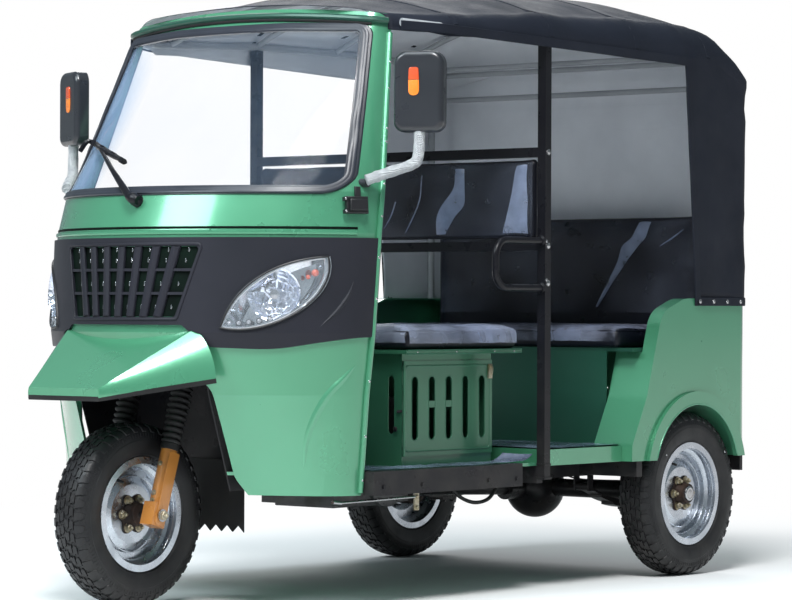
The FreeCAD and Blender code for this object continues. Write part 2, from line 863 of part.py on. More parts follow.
def cab_wire(name, out, drop=0.0, height=None):
    """Plan section of the cab, set out by a distance; the rear is left square for cutting open."""
    z = size("cab_%s_height" % name) if height is None else height
    half = size("cab_%s_half" % name) + out
    nose = place("front_axle") + size("cab_%s_nose" % name) - out
    rear = place("front_axle") + size("cab_%s_rear" % name)
    corner = size("cab_%s_corner" % name) + out
    depth = rear - nose
    wide = half - corner
    radius = (wide ** 2 + depth ** 2 - corner ** 2) / (2 * (depth - corner))
    angle = math.atan2(wide, radius - depth)
    centre = V(0, nose + radius, z)
    joint = centre + V(math.sin(angle), -math.cos(angle), 0) * radius
    corner_centre = V(wide, rear, z)
    mid_angle = (angle + math.pi / 2) / 2
    corner_mid = corner_centre + V(math.sin(mid_angle), -math.cos(mid_angle), 0) * corner
    edges = [
        arc(V(-joint.x, joint.y, z), V(0, nose, z), joint),
        arc(joint, corner_mid, V(half, rear, z)),
        line(V(half, rear, z), V(half, rear + drop, z)),
        line(V(half, rear + drop, z), V(-half, rear + drop, z)),
        line(V(-half, rear + drop, z), V(-half, rear, z)),
        arc(V(-half, rear, z), V(-corner_mid.x, corner_mid.y, z), V(-joint.x, joint.y, z)),
    ]
    return Part.Wire(edges)


def cab_body(out, drop):
    """The cab's outer form set out by a distance, closed, and run on behind its rear edge by drop."""
    wires = [cab_wire(name, out, drop) for name, *rest in CAB_SECTIONS]
    return Part.makeLoft(wires, True, True)


def cab_skin(outside, inside):
    """The cab's wall between two distances from its outer form, open at the rear."""
    return cab_body(outside, 1).cut(cab_body(inside, 60))


def screen_outline(inset):
    half_low = size("screen_half_bottom") - inset
    half_high = size("screen_half_top") - inset
    low = size("screen_bottom") + inset
    high = size("screen_top") - inset
    radius = size("screen_corner") - inset
    bend = size("screen_half_top") * 0.45
    side = high - size("screen_arch")
    return [(-half_low, low, radius), (half_low, low, radius), (half_high, side, radius * 0.8), (bend, high, 500),
            (-bend, high, 500), (-half_high, side, radius * 0.8)]


def screen_prism(inset):
    return front_prism(screen_outline(inset), place("front_axle") - 300, place("cab_rear_y") + 300)


def arch_prism():
    """The opening for the front wheel between the aprons."""
    foot = size("apron_height") - 10
    half = size("arch_half_width")
    wide = size("arch_foot_half_width")
    top = size("arch_height")
    corners = [(-wide, foot, 0), (wide, foot, 0), (half + 12, foot + 60, 60), (half, top, 60),
               (-half, top, 60), (-half - 12, foot + 60, 60)]
    return front_prism(corners, place("front_axle") - 300, place("well_rear_y") - 20)


def header_prism():
    """Everything above the arched top edge of the header."""
    half = 700
    side = size("header_side")
    crown = size("header_crown")
    edge = size("cab_brow_half")
    y_low = place("front_axle") - 300
    drop = (crown - side) / edge ** 2
    left = V(-half, y_low, crown - drop * half ** 2)
    right = V(half, y_low, crown - drop * half ** 2)
    top = 2000
    edges = [arc(left, V(0, y_low, crown), right), line(right, V(half, y_low, top)),
             line(V(half, y_low, top), V(-half, y_low, top)), line(V(-half, y_low, top), left)]
    return Part.Face(Part.Wire(edges)).extrude(V(0, 1500, 0))


def lamp_outline(inset=0.0):
    """Eye-shaped lamp outline in front view: two arcs between the pointed ends."""
    low = V(330 + inset * 1.2, 0, 814 + inset * 0.6)
    high = V(556 - inset * 1.2, 0, 1022 - inset * 1.2)
    upper = V(412 + inset * 0.7, 0, 958 - inset * 0.7)
    lower = V(486 - inset * 0.7, 0, 846 + inset * 0.7)
    return low, upper, high, lower


def lamp_prism(inset=0.0):
    low, upper, high, lower = [p + V(0, place("front_axle") - 200, 0) for p in lamp_outline(inset)]
    wire = Part.Wire([arc(low, upper, high), arc(high, lower, low)])
    left = Part.Face(wire).extrude(V(0, 500, 0))
    return left, mirror_x(left)


def make_cab_shell():
    wall = size("cab_wall")
    shell = cab_skin(0, -wall)
    shell = shell.cut(screen_prism(0)).cut(arch_prism()).cut(header_prism())
    for lamp in lamp_prism():
        shell = shell.cut(lamp)
    keep(feature("cab_shell", shell), "cab_shell")


def mask_prism():
    """Outline of the dark face panel in front view, with the recess over the mudguard."""
    low = size("mask_bottom")
    side = size("mask_side_bottom")
    top = size("mask_top")
    recess = size("recess_half_width")
    roof = size("recess_top")
    half = 700
    right = [(recess + 78, low + 6, 20), (recess, roof, 14)]
    corners = [(-half, side + 12, 0), (-450, low, 300)] + [(-x, z, r) for x, z, r in right]
    corners += [(x, z, r) for x, z, r in reversed(right)]
    corners += [(450, low, 300), (half, side + 12, 0), (half, top, 0), (-half, top, 0)]
    return front_prism(corners, place("front_axle") - 300, place("cab_rear_y") + 300)


def grille_outline(inset):
    half_low = size("grille_half_bottom") - inset
    half_high = size("grille_half_top") - inset
    low = size("grille_bottom") + inset
    high = size("grille_top") - inset
    return [(-half_low, low, 10), (half_low, low, 10), (half_high, high, 10), (-half_high, high, 10)]


def make_front_mask():
    gap = size("seat_gap")
    thickness = size("mask_thickness")
    shell = cab_skin(gap + thickness, gap).common(mask_prism())
    for lamp in lamp_prism():
        shell = shell.cut(lamp)
    y_low = place("front_axle") - 300
    shell = shell.cut(front_prism(grille_outline(0), y_low, y_low + 600))
    shell = shell.cut(beak_form(-size("beak_clearance")))
    keep(feature("front_mask", shell.fuse(grille_shape()).removeSplitter()), "front_mask")


def grille_shape():
    """Fanned upright bars with two rows of ties across the mask's opening."""
    gap = size("seat_gap")
    thickness = size("mask_thickness")
    y_low = place("front_axle") - 300
    low = size("grille_bottom")
    high = size("grille_top")
    count = int(size("grille_bars"))
    half_bar = size("grille_bar_width") / 2
    pieces = []
    for i in range(1, count - 1):
        share = 2 * i / (count - 1) - 1
        foot = share * (size("grille_half_bottom") - 8)
        head = share * (size("grille_half_top") - 8)
        corners = [(foot - half_bar, low, 0), (foot + half_bar, low, 0), (head + half_bar, high, 0), (head - half_bar, high, 0)]
        pieces.append(front_prism(corners, y_low, y_low + 600))
    for step in (1, 2):
        height = low + (high - low) * step / 3
        tie = size("grille_tie_height") / 2
        half = size("grille_half_top") - 4
        pieces.append(front_prism([(-half, height - tie, 0), (half, height - tie, 0), (half, height + tie, 0),
                                   (-half, height + tie, 0)], y_low, y_low + 600))
    bars = pieces[0].fuse(pieces[1:])
    bars = bars.common(front_prism(grille_outline(-2), y_low, y_low + 600))
    return cab_skin(gap + thickness - 1, gap + 1).common(bars)


def make_headlamps():
    """Deep bowls behind clear lenses, in eye-shaped holes through mask and cab."""
    gap = size("seat_gap")
    face = gap + size("mask_thickness")
    lens_back = face - size("lens_thickness")
    lens_skin = cab_skin(face + 3, lens_back + 3)
    lens = [lens_skin.common(lamp) for lamp in lamp_prism(gap)]
    keep(feature("headlamp_lenses", Part.makeCompound(lens)), "headlamp_lenses")
    depth = size("lamp_depth")
    outer = cab_skin(lens_back + 3 - gap, -depth)
    inner = cab_skin(lens_back + 4, -depth + 5)
    bowls = []
    for wide, narrow in zip(lamp_prism(gap), lamp_prism(gap + 5)):
        bowls.append(outer.common(wide).cut(inner.common(narrow)))
    keep(feature("headlamp_bowls", Part.makeCompound(bowls)), "headlamp_bowls")


def make_windscreen():
    wall = size("cab_wall")
    proud = size("seal_proud")
    width = size("seal_width")
    gap = size("seat_gap")
    ring = screen_prism(0).cut(screen_prism(width))
    seal = cab_skin(proud, -wall - proud).common(ring)
    keep(feature("windscreen_seal", seal), "windscreen_seal")
    middle = -wall / 2
    thick = size("glass_thickness") / 2
    glass = cab_skin(middle + thick, middle - thick).common(screen_prism(width + gap))
    keep(feature("windscreen", glass), "windscreen")


def make_wheel_well():
    """Sheet arch round the front wheel and fork, with a hole for the head tube."""
    half = size("well_half_width")
    sheet_t = size("sheet")
    front = place("front_axle") - 100
    rear = place("well_rear_y")
    top = size("well_top")
    low = size("apron_height") + 10
    outer = block(-half - sheet_t, half + sheet_t, front, rear, low, top + sheet_t)
    inner = block(-half, half, front - 10, rear - sheet_t, low - 10, top)
    shell = outer.cut(inner)
    hole = Part.makeCylinder(place("head_tube_radius") + 3, 400, steering_point(place("head_tube_bottom") - 100),
                             steering_point(1) - steering_point(0))
    shell = shell.cut(hole).common(cab_body(-size("cab_wall") - size("seat_gap"), 200))
    keep(feature("wheel_well", shell), "wheel_well")


def make_floor_pan():
    """Driver's floor round the wheel well, and the passenger floor a step higher."""
    half = size("floor_half_width")
    thick = size("floor_thickness")
    low = size("rail_top")
    rear_floor = place("rear_floor_y")
    well = size("well_half_width") + size("sheet") + size("seat_gap")
    front_part = block(-half, half, place("front_axle"), place("cab_rear_y") + 20, low, low + thick)
    front_part = front_part.common(cab_body(-size("cab_wall") - size("seat_gap"), 40))
    back_part = block(-half, half, place("cab_rear_y") + 6, rear_floor, low, low + thick)
    hole = block(-well, well, place("front_axle") - 200, place("well_rear_y") + size("seat_gap"), low - 1, low + thick + 1)
    neck = block(-185, 185, place("well_rear_y") - 1, place("well_rear_y") + 60, low - 1, low + thick + 1)
    driver = front_part.fuse(back_part).cut(hole).cut(neck)
    engine = block(-size("engine_width") / 2 - 2, size("engine_width") / 2 + 2, place("engine_front_y") - 2,
                   place("engine_rear_y") + 2, low - 1, low + thick + 1)
    driver = driver.cut(engine)
    top = place("rear_floor_top")
    edge = size("post_half_width") + size("post_size") / 2
    rear_end = place("rear_seat_y")
    rear_outer = block(-edge, edge, rear_floor, rear_end, low, top)
    rear_inner = block(-edge + size("sheet"), edge - size("sheet"), rear_floor + size("sheet"), rear_end + 1, low - 1, top - thick)
    rear = rear_outer.cut(rear_inner)
    arms = [block(place("rail_x"), edge + 1, rear_end - 41, rear_end + 1, low - 1, low + 0.3)]
    quarter = block(size("body_half_width") - size("body_return") - size("seat_gap"), edge + 1,
                    place("rear_axle") - size("edge_foot_ahead") - size("seat_gap"), rear_end + 1, low - 1, top + 1)
    for tool in (arms[0], quarter):
        rear = rear.cut(tool).cut(mirror_x(tool))
    keep(feature("floor_pan", driver.fuse(rear).removeSplitter()), "floor_pan")


def beak_section(y, inset, sink):
    """Cross-section of the mudguard at a station: raised middle, falling sides, flat underneath."""
    tip = -place("half_length")
    nose = place("front_axle") + size("cab_waist_nose")
    share = (y - tip) / (nose - tip)

    def between(front, rear):
        return size(front) * (1 - share) + size(rear) * share

    half = between("mudguard_front_half", "mudguard_rear_half") - inset * 0.6
    high = between("mudguard_front_top", "mudguard_rear_top") - inset
    side = between("mudguard_front_half", "mudguard_rear_side") + 2 - inset
    low = between("mudguard_front_bottom", "mudguard_side_height") - sink
    foot = V(side, y, low)
    fold = V(half, y, high)
    across = foot - fold
    outward = V(-across.z, 0, across.x).normalize()
    middle = (foot + fold) * 0.5 + outward * between("mudguard_tip_bow", "mudguard_side_bow")
    mirrored = [V(-p.x, p.y, p.z) for p in (foot, middle, fold)]
    return Part.Wire([arc(mirrored[0], mirrored[1], mirrored[2]), line(mirrored[2], fold), arc(fold, middle, foot),
                      line(foot, mirrored[0])])


def beak_form(inset):
    """The mudguard's form between the tip and the cab, set in by a distance."""
    tip = -place("half_length") + inset
    rear = place("front_axle") + size("mudguard_rear_behind_axle") + max(inset, 0)
    return Part.makeLoft([beak_section(tip, inset, inset / 2), beak_section(rear, inset, inset / 2)], True, True)


def make_front_mudguard():
    """Beak over the front wheel, open underneath."""
    inner = beak_form(size("mudguard_wall"))
    sunk = inner.translated(V(0, 0, -size("mudguard_wall")))
    beak = beak_form(0).cut(inner.fuse(sunk)).cut(cab_body(size("seat_gap"), 300))
    keep(feature("front_mudguard", max(beak.Solids, key=lambda solid: solid.Volume)), "front_mudguard")


def nose_y(height, x, out=0.0):
    """The cab's outer surface, as a distance along Y, at a height and a distance across."""
    probe = Part.makeLine(V(x, place("front_axle") - 300, height), V(x, place("cab_rear_y") + 200, height))
    hit = probe.common(cab_body(out, 60))
    return hit.BoundBox.YMin


def make_wiper():
    """Pivot boss on the cowl, arm and blade across the glass."""
    low = size("screen_bottom")
    pivot = V(-8, nose_y(low - 14, -8) - 1, low - 14)
    face = pivot + V(0, -16, 0)
    elbow = V(-60, nose_y(low + 34, -60) - 26, low + 34)
    mid = V(-150, nose_y(low + 92, -150) - 24, low + 92)
    boss = rod(pivot, face, 11)
    arm = rod(face + V(0, 6, 0), elbow, 5).fuse([rod(elbow, mid, 4), Part.makeSphere(5, elbow), Part.makeSphere(6, face + V(0, 6, 0))])
    ends = []
    for x, up in ((-262, 168), (-42, 20)):
        ends.append(V(x, nose_y(low + up, x) - 16, low + up))
    blade = rod(ends[0], ends[1], 5)
    link = rod(mid, (ends[0] + ends[1]) * 0.5, 4)
    shape = boss.fuse([arm, blade, link]).removeSplitter().cut(cab_body(size("seat_gap"), 60))
    keep(feature("wiper", shape), "wiper")


def make_mirrors():
    """Rounded shells on bent arms from the windscreen pillars."""
    wide = size("mirror_width")
    tall = size("mirror_height")
    deep = size("mirror_depth")
    centre = V(size("mirror_half_spread"), place("mirror_y"), place("mirror_z"))
    face = [(V(-wide / 2, -deep / 2, -tall / 2), 30), (V(wide / 2, -deep / 2, -tall / 2), 30),
            (V(wide / 2, -deep / 2, tall / 2), 38), (V(-wide / 2, -deep / 2, tall / 2), 38)]
    shell = prism(face, V(0, deep, 0))
    front_edges = [edge for edge in shell.Edges if edge.BoundBox.YMax < 0.01 - deep / 2]
    shell = shell.makeFillet(deep * 0.35, front_edges)
    shell.Placement = FreeCAD.Placement(centre, FreeCAD.Rotation(V(0, 0, 1), size("mirror_turn")))
    shell = shell.fuse(mirror_arm()).removeSplitter()
    keep(feature("mirrors", Part.makeCompound([shell, mirror_x(shell)])), "mirrors")


def mirror_arm():
    """A foot on the pillar, a sloping arm and an upright end into the mirror."""
    foot_z = size("screen_bottom") + 34
    foot_x = size("cab_cowl_half") - 8
    foot_y = place("front_axle") + size("cab_cowl_rear") - 66
    top = V(size("mirror_half_spread"), place("mirror_y"), place("mirror_z") - size("mirror_height") / 2 + 20)
    elbow = top - V(0, 0, size("mirror_arm_drop"))
    arm = tube([(foot_x, foot_y, foot_z), (elbow.x, elbow.y, elbow.z), (top.x, top.y, top.z)], size("mirror_arm_radius"), 22)
    foot = rod((foot_x - 30, foot_y, foot_z), (foot_x + 6, foot_y, foot_z), 13)
    arm = arm.fuse(foot).cut(cab_body(size("seat_gap"), 60))
    return max(arm.Solids, key=lambda solid: solid.Volume)


def make_dashboard():
    """Hollow shelf behind the windscreen, open towards the nose."""
    low = size("dash_bottom")
    high = size("dash_top")
    rear = place("dash_rear_y")
    wall = size("sheet")
    inside = cab_body(-size("cab_wall") - size("seat_gap"), 60)
    half = size("dash_half_width")
    front = place("front_axle") - 100
    outer = block(-half, half, front, rear, low, high).common(inside)
    hollow = block(-half + wall, half - wall, front, rear - wall, low + wall, high - wall)
    keep(feature("dashboard", outer.cut(hollow)), "dashboard")


# ---------------------------------------------------------------------------
# Roof
# ---------------------------------------------------------------------------


def canopy_at(ahead):
    """Half width, shoulder height, crown rise and corner radius of the canopy ahead of the rear axle."""
    rows = [[size("canopy_%s_%s" % (row[0], key)) for key in ("ahead", "half", "shoulder", "crown", "corner")]
            for row in CANOPY_SECTIONS]
    for front, rear in zip(rows, rows[1:]):
        if front[0] >= ahead >= rear[0]:
            share = (front[0] - ahead) / (front[0] - rear[0])
            return [a + (b - a) * share for a, b in zip(front[1:], rear[1:])]
    return rows[0][1:] if ahead > rows[0][0] else rows[-1][1:]


def canopy_wire(ahead, inset):
    half, shoulder, crown, corner = canopy_at(ahead)
    half -= inset
    shoulder -= inset
    corner -= inset
    y = place("rear_axle") - ahead
    low = size("canopy_hem")
    inner = half - corner
    diagonal = corner * math.sin(math.pi / 4)
    left = [line(V(-half, y, low), V(-half, y, shoulder - corner)),
            arc(V(-half, y, shoulder - corner), V(-inner - diagonal, y, shoulder - corner + diagonal), V(-inner, y, shoulder))]
    top = [arc(V(-inner, y, shoulder), V(0, y, shoulder + crown), V(inner, y, shoulder))]
    right = [arc(V(inner, y, shoulder), V(inner + diagonal, y, shoulder - corner + diagonal), V(half, y, shoulder - corner)),
             line(V(half, y, shoulder - corner), V(half, y, low)), line(V(half, y, low), V(-half, y, low))]
    return Part.Wire(left + top + right)


def canopy_body(inset):
    """The canopy's form set in by a distance, with its rear rounded in plan."""
    wires = [canopy_wire(size("canopy_%s_ahead" % row[0]), inset) for row in CANOPY_SECTIONS]
    out = size("canopy_wall") + size("seat_gap") - inset
    return Part.makeLoft(wires, True, True).common(plan_prism(out, 0, 2200))


def plan_prism(out, low, high):
    """Plan outline of the rear body set out by a distance: square in front, round rear corners."""
    half = size("body_half_width") + out
    rear = place("body_rear_y") + out
    corner = size("body_corner") + out
    front = -2000
    corners = [(V(-half, front, low), 0), (V(half, front, low), 0), (V(half, rear, low), corner), (V(-half, rear, low), corner)]
    return prism(corners, V(0, 0, high - low))


def make_canopy():
    """Fabric roof with side valances, rear quarters and rear wall; open at the front and both sides."""
    wall = size("canopy_wall")
    rear = place("rear_axle")
    outer = canopy_body(0)
    inner = canopy_body(wall)
    front = rear - size("canopy_front_ahead")
    shell = outer.cut(inner)
    low = size("canopy_hem")
    opening = [(front - 50, low - 50, 0), (front - 50, size("valance_front"), 0), (front, size("valance_front"), 0),
               (rear + size("opening_head"), size("valance_rear"), 25), (rear + size("opening_foot"), low - 50, 0)]
    shell = shell.cut(side_prism(opening, -1000, 1000))
    shell = shell.cut(cab_skin(size("seal_proud") + size("seat_gap"), -size("cab_wall") - size("seal_proud")).cut(header_prism()))
    brow = size("canopy_brow_half")
    raked = front + size("canopy_corner_rake")
    plan = [(brow, front - 60), (brow, front), (size("canopy_corner_half"), raked), (800, raked), (800, front - 60)]
    tool = prism([(V(x, y, low), 0) for x, y in plan], V(0, 0, 1500))
    shell = shell.cut(tool).cut(mirror_x(tool))
    keep(feature("canopy", max(shell.Solids, key=lambda solid: solid.Volume)), "canopy")


def rail_point(ahead):
    """Centre of the roof rail inside the canopy's shoulder."""
    half, shoulder, crown, corner = canopy_at(ahead)
    reach = corner - size("canopy_wall") - size("rail_tube_radius") - size("rail_clearance")
    return V(half - corner + reach * math.cos(math.radians(30)), place("rear_axle") - ahead,
             shoulder - corner + reach * math.sin(math.radians(30)))


def make_roof_frame():
    """Door posts, roof rails running down into rear posts, and bows across."""
    radius = size("rail_tube_radius")
    stations = [size("rail_start"), size("canopy_second_ahead"), size("canopy_post_ahead"), size("canopy_seat_ahead"),
                size("canopy_rear_ahead"), size("rail_end")]
    run = [rail_point(ahead) for ahead in stations]
    run.append(V(run[-1].x, run[-1].y, size("body_top") + size("seat_gap")))
    rail = tube([tuple(p) for p in run], radius, 45)
    pieces = [rail, mirror_x(rail)]
    for ahead in (1200, size("post_before_axle"), 330, -60):
        side = rail_point(ahead)
        half, shoulder, crown, corner = canopy_at(ahead)
        peak = shoulder + crown - size("canopy_wall") - radius - size("rail_clearance")
        path = Part.Wire([arc(V(-side.x, side.y, side.z), V(0, side.y, peak), side)])
        start = path.Edges[0]
        ring = Part.Wire(Part.makeCircle(radius * 0.8, start.valueAt(start.FirstParameter), start.tangentAt(start.FirstParameter)))
        pieces.append(path.makePipeShell([ring], True, False))
    slope = rail_point(size("rear_bow"))
    post = rail_point(size("rail_end"))
    for x, y, z in (tuple(slope), (post.x, post.y, size("rear_bar_high")), (post.x, post.y, size("rear_bar_low"))):
        pieces.append(rod((-x, y, z), (x, y, z), radius * 0.8))
    keep(feature("roof_frame", pieces[0].fuse(pieces[1:])), "roof_frame")


def post_shape():
    """Both door posts, from the frame's outriggers to just under the roof rails."""
    half = size("post_size") / 2
    x = size("post_half_width")
    y = place("post_y")
    top = rail_point(size("post_before_axle") + half).z - size("rail_tube_radius") - 2 * size("seat_gap")
    post = block(x - half, x + half, y - half, y + half, size("post_foot"), top)
    return post.fuse(mirror_x(post))


def make_partition_frame():
    """Door posts, two bars across between them, and a D-shaped grab handle on each."""
    half = size("post_size") / 2
    x = size("post_half_width")
    y = place("post_y")
    pieces = [block(-x, x, y - half, y + half, height - half, height + half)
              for height in (size("bar_height_low"), size("bar_height_high"))]
    front = y - half - size("handle_reach")
    low = size("handle_bottom")
    high = size("handle_top")
    handle = tube([(x, y, high), (x, front, high), (x, front, low), (x, y, low)], size("handle_radius"), 52)
    frame = post_shape().fuse(pieces + [handle, mirror_x(handle)]).removeSplitter()
    keep(feature("partition_frame", frame), "partition_frame")


# ---------------------------------------------------------------------------
# Cabin
# ---------------------------------------------------------------------------


def cushion(name, x_low, x_high, y_low, y_high, z_low, z_high, radius):
    """A soft block with all its edges rounded."""
    raw = box(name + "_block", x_low, x_high, y_low, y_high, z_low, z_high)
    doc.recompute()
    rounded = doc.addObject("Part::Fillet", name + "_rounded")
    rounded.Base = raw
    amount = size("cushion_round") / (2 if radius.endswith("/ 2") else 1)
    rounded.Edges = [(i + 1, amount, amount) for i in range(12)]
    return rounded


def make_seats():
    """Driver's and passengers' benches, and the two backrests."""
    driver = "sizes.cushion_half_width"
    wide = "sizes.rear_seat_half"
    cushions = [
        cushion("driver_cushion", "-" + driver, driver, "places.box_front_y - sizes.cushion_overhang",
                "places.post_y + sizes.cushion_overhang", "places.cushion_bottom + sizes.seat_gap",
                "places.cushion_top", "sizes.cushion_round"),
        cushion("rear_cushion", "-" + wide, wide, "places.rear_seat_y - sizes.cushion_overhang",
                "places.rear_back_y - sizes.seat_gap", "places.cushion_bottom + sizes.seat_gap",
                "places.cushion_top", "sizes.cushion_round"),
    ]
    keep(group("cushions", cushions), "seat_cushions")
    inner = "(sizes.post_half_width - sizes.post_size / 2)"
    half = "sizes.post_size / 2"
    backs = [
        cushion("driver_back", "-%s + 4" % inner, inner + " - 4",
                "places.post_y - sizes.backrest_thickness / 2", "places.post_y + sizes.backrest_thickness / 2",
                "sizes.bar_height_low + %s + sizes.seat_gap" % half,
                "sizes.bar_height_high - %s - sizes.seat_gap" % half, "sizes.cushion_round / 2"),
        cushion("rear_back", "-" + wide, wide, "places.rear_back_y",
                "places.rear_back_y + sizes.rear_back_thickness", "places.cushion_bottom + sizes.seat_gap",
                "sizes.rear_back_top", "sizes.cushion_round"),
    ]
    keep(group("backs", backs), "backrests")


def make_seat_box():
    """Sheet box round the engine with a flat tray over it; both sides and the bottom are open."""
    wall = "sizes.sheet"
    half = "sizes.box_half_width"
    shell = cut("box_shell",
                box("box_outer", "-" + half, half, "places.box_front_y", "places.box_rear_y", "places.floor_top", "sizes.box_top"),
                box("box_inner", "-%s + %s" % (half, wall), "%s - %s" % (half, wall), "places.box_front_y + " + wall,
                    "places.box_rear_y - " + wall, "places.floor_top - 5", "sizes.box_top - " + wall))
    doors = box("box_door_hole", "-%s - 5" % half, half + " + 5", "places.box_front_y + 24", "places.box_rear_y - 16",
                "places.door_bottom + 12", "places.door_top - 12")
    tray = box("box_tray", "-sizes.cushion_half_width + 8", "sizes.cushion_half_width - 8",
               "places.box_front_y - sizes.cushion_overhang + 6", "places.post_y + sizes.cushion_overhang - 6",
               "sizes.box_top", "places.cushion_bottom")
    slots = []
    for side, centre in (("left", "%s - 42" % half), ("right", "-%s + 42" % half)):
        slot = box("vent_" + side, "%s - 12" % centre, "%s + 12" % centre, "places.box_front_y - 5",
                   "places.box_front_y + 9", "places.floor_top + 110", "places.floor_top + 262")
        ends = [cylinder("vent_%s_%d" % (side, i), "12", "14", (centre, "places.box_front_y - 5", height), "Y")
                for i, height in enumerate(("places.floor_top + 110", "places.floor_top + 262"))]
        slots.append(fuse("vent_%s_slot" % side, [slot] + ends))
    opened = cut("box_opened", shell, fuse("box_holes", [doors] + slots))
    keep(fuse("seat_box_sheet", [opened, tray]), "seat_box")


def make_box_door(side, label):
    """Slotted door on the engine box's side, with its hinge barrel along the front edge."""
    face = "(sizes.box_half_width + sizes.seat_gap)"
    start = "(places.box_front_y + sizes.door_hinge_radius)"
    length = "(sizes.box_length - sizes.door_hinge_radius)"
    plate = box(side + "_plate", face, face + " + sizes.door_thickness", start, "%s + %s" % (start, length),
                "places.door_bottom", "places.door_top")
    barrel = cylinder(side + "_barrel", "sizes.door_hinge_radius", "places.door_top - places.door_bottom",
                      (face + " + sizes.door_hinge_radius", start, "places.door_bottom"))
    centre_z = "(places.door_bottom + places.door_top) / 2"
    holes = []
    for i in range(5):
        middle = "%s + %s * %s" % (start, length, round(0.12 + 0.19 * i, 3))
        half = "sizes.slot_width / 2"
        hole = box("%s_slot_%d" % (side, i), face + " - 2", face + " + sizes.door_thickness + 2", middle + " - " + half,
                   middle + " + " + half, centre_z + " - sizes.slot_height / 2 + " + half,
                   centre_z + " + sizes.slot_height / 2 - " + half)
        ends = [cylinder("%s_slot_%d_%s" % (side, i, end), half, "sizes.door_thickness + 4",
                         (face + " - 2", middle, centre_z + sign + "(sizes.slot_height / 2 - %s)" % half), "X")
                for end, sign in (("top", " + "), ("foot", " - "))]
        holes += [hole] + ends
    bars = [box("%s_bar_%d" % (side, i), face, face + " + sizes.door_thickness",
                "%s + %s * %s" % (start, length, round(0.12 + 0.19 * i - 0.05, 3)),
                "%s + %s * %s" % (start, length, round(0.12 + 0.19 * i + 0.05, 3)),
                centre_z + " + 2", centre_z + " + 22") for i in (1, 2)]
    slotted = cut(side + "_slotted", fuse(side + "_blank", [plate, barrel]), fuse(side + "_holes", holes))
    door = fuse(side + "_panel", [slotted] + bars)
    keep(door if side == "left" else mirrored("right_door", door), label)


def make_engine_block():
    keep(box("engine", "-sizes.engine_width / 2", "sizes.engine_width / 2", "places.engine_front_y", "places.engine_rear_y",
             "sizes.engine_bottom", "sizes.engine_bottom + sizes.engine_height"), "engine_block")


# ---------------------------------------------------------------------------
# Rear body
# ---------------------------------------------------------------------------


def inset_polygon(corners, amount):
    """Move every edge of an anticlockwise (y, z, radius) outline inwards."""
    moved = []
    count = len(corners)
    for i in range(count):
        y0, z0, unused = corners[i - 1]
        y1, z1, radius = corners[i]
        y2, z2, unused = corners[(i + 1) % count]
        a = V(y1 - y0, z1 - z0, 0).normalize()
        b = V(y2 - y1, z2 - z1, 0).normalize()
        na = V(-a.y, a.x, 0) * amount
        nb = V(-b.y, b.x, 0) * amount
        turn = a.cross(b).z
        if abs(turn) < 1e-9:
            moved.append((y1 + na.x, z1 + na.y, radius))
            continue
        along = ((nb - na).cross(b)).z / turn
        moved.append((y1 + na.x + a.x * along, z1 + na.y + a.y * along, max(radius - amount, 0)))
    return moved


def body_profile(inset):
    """Side view of the rear body: the front edge leans back in an S and curls into the top."""
    rear_axle = place("rear_axle")
    low = place("body_bottom")
    high = size("body_top")
    beyond = place("body_rear_y") + 100
    corners = [(rear_axle - size("edge_foot_ahead"), low, 0), (beyond, low, 0), (beyond, high, 0)]
    corners += [tuple(size("edge_%s_%s" % (name, key)) for key in ("ahead", "height", "radius"))
                for name, *rest in SIDE_EDGE_BENDS]
    corners = corners[:3] + [(rear_axle - ahead, height, radius) for ahead, height, radius in corners[3:]]
    return inset_polygon(corners, inset)


def body_form(inset, out):
    return side_prism(body_profile(inset), -1000, 1000).common(plan_prism(out, 0, 1200))


def make_side_panels():
    """Rear quarters: skin with a return along front and top, arch flare and wheelhouse."""
    skin = size("body_skin")
    half = size("body_half_width")
    rear_axle = place("rear_axle")
    low = place("body_bottom")
    outer = body_form(0, 0)
    hollow = side_prism(body_profile(skin), -1000, 1000)
    below = block(-1000, 1000, rear_axle - size("edge_foot_ahead") + skin, rear_axle + 800, low - 50, low + 2 * skin)
    hollow = hollow.fuse(below).common(plan_prism(-skin, 0, 1200))
    panel = outer.cut(hollow).common(block(half - size("body_return"), 1000, -2000, 2000, 0, 1200))
    strip = outer.cut(hollow).common(block(size("wheelhouse_inner"), half - size("body_return") + 1, -2000,
                                           place("rear_axle") - size("tyre_radius") * 0.7,
                                           place("rear_floor_top") + size("seat_gap"), size("box_top") - size("seat_gap")))
    panel = panel.fuse(strip)
    deep = block(half - size("body_return") - 1, half - skin, rear_axle - 300, rear_axle + 290, low - 1, low + 60)
    centre = size("arch_centre_height")
    arch = Part.makeCylinder(size("arch_radius"), 400, V(half - 200, rear_axle, centre), V(1, 0, 0))
    panel = panel.cut(arch).cut(deep)
    flare_outer = Part.makeCylinder(size("arch_radius") + size("flare_width"), skin + size("flare_proud"),
                                    V(half - skin, rear_axle, centre), V(1, 0, 0))
    flare = flare_outer.cut(arch).common(block(half - skin, 1000, -2000, 2000, low, 1200))
    reach = size("tyre_radius") + size("wheelhouse_gap")
    wall = size("sheet")
    inner_x = size("wheelhouse_inner")
    drum = Part.makeCylinder(reach + wall, half - skin - inner_x + wall, V(inner_x - wall, rear_axle, place("axle_height")), V(1, 0, 0))
    void = Part.makeCylinder(reach, 400, V(inner_x, rear_axle, place("axle_height")), V(1, 0, 0))
    house = drum.cut(void).common(block(0, 1000, -2000, 2000, low, 1200))
    panel = panel.fuse([flare, house]).removeSplitter()
    keep(feature("side_panels", Part.makeCompound([panel, mirror_x(panel)])), "side_panels")


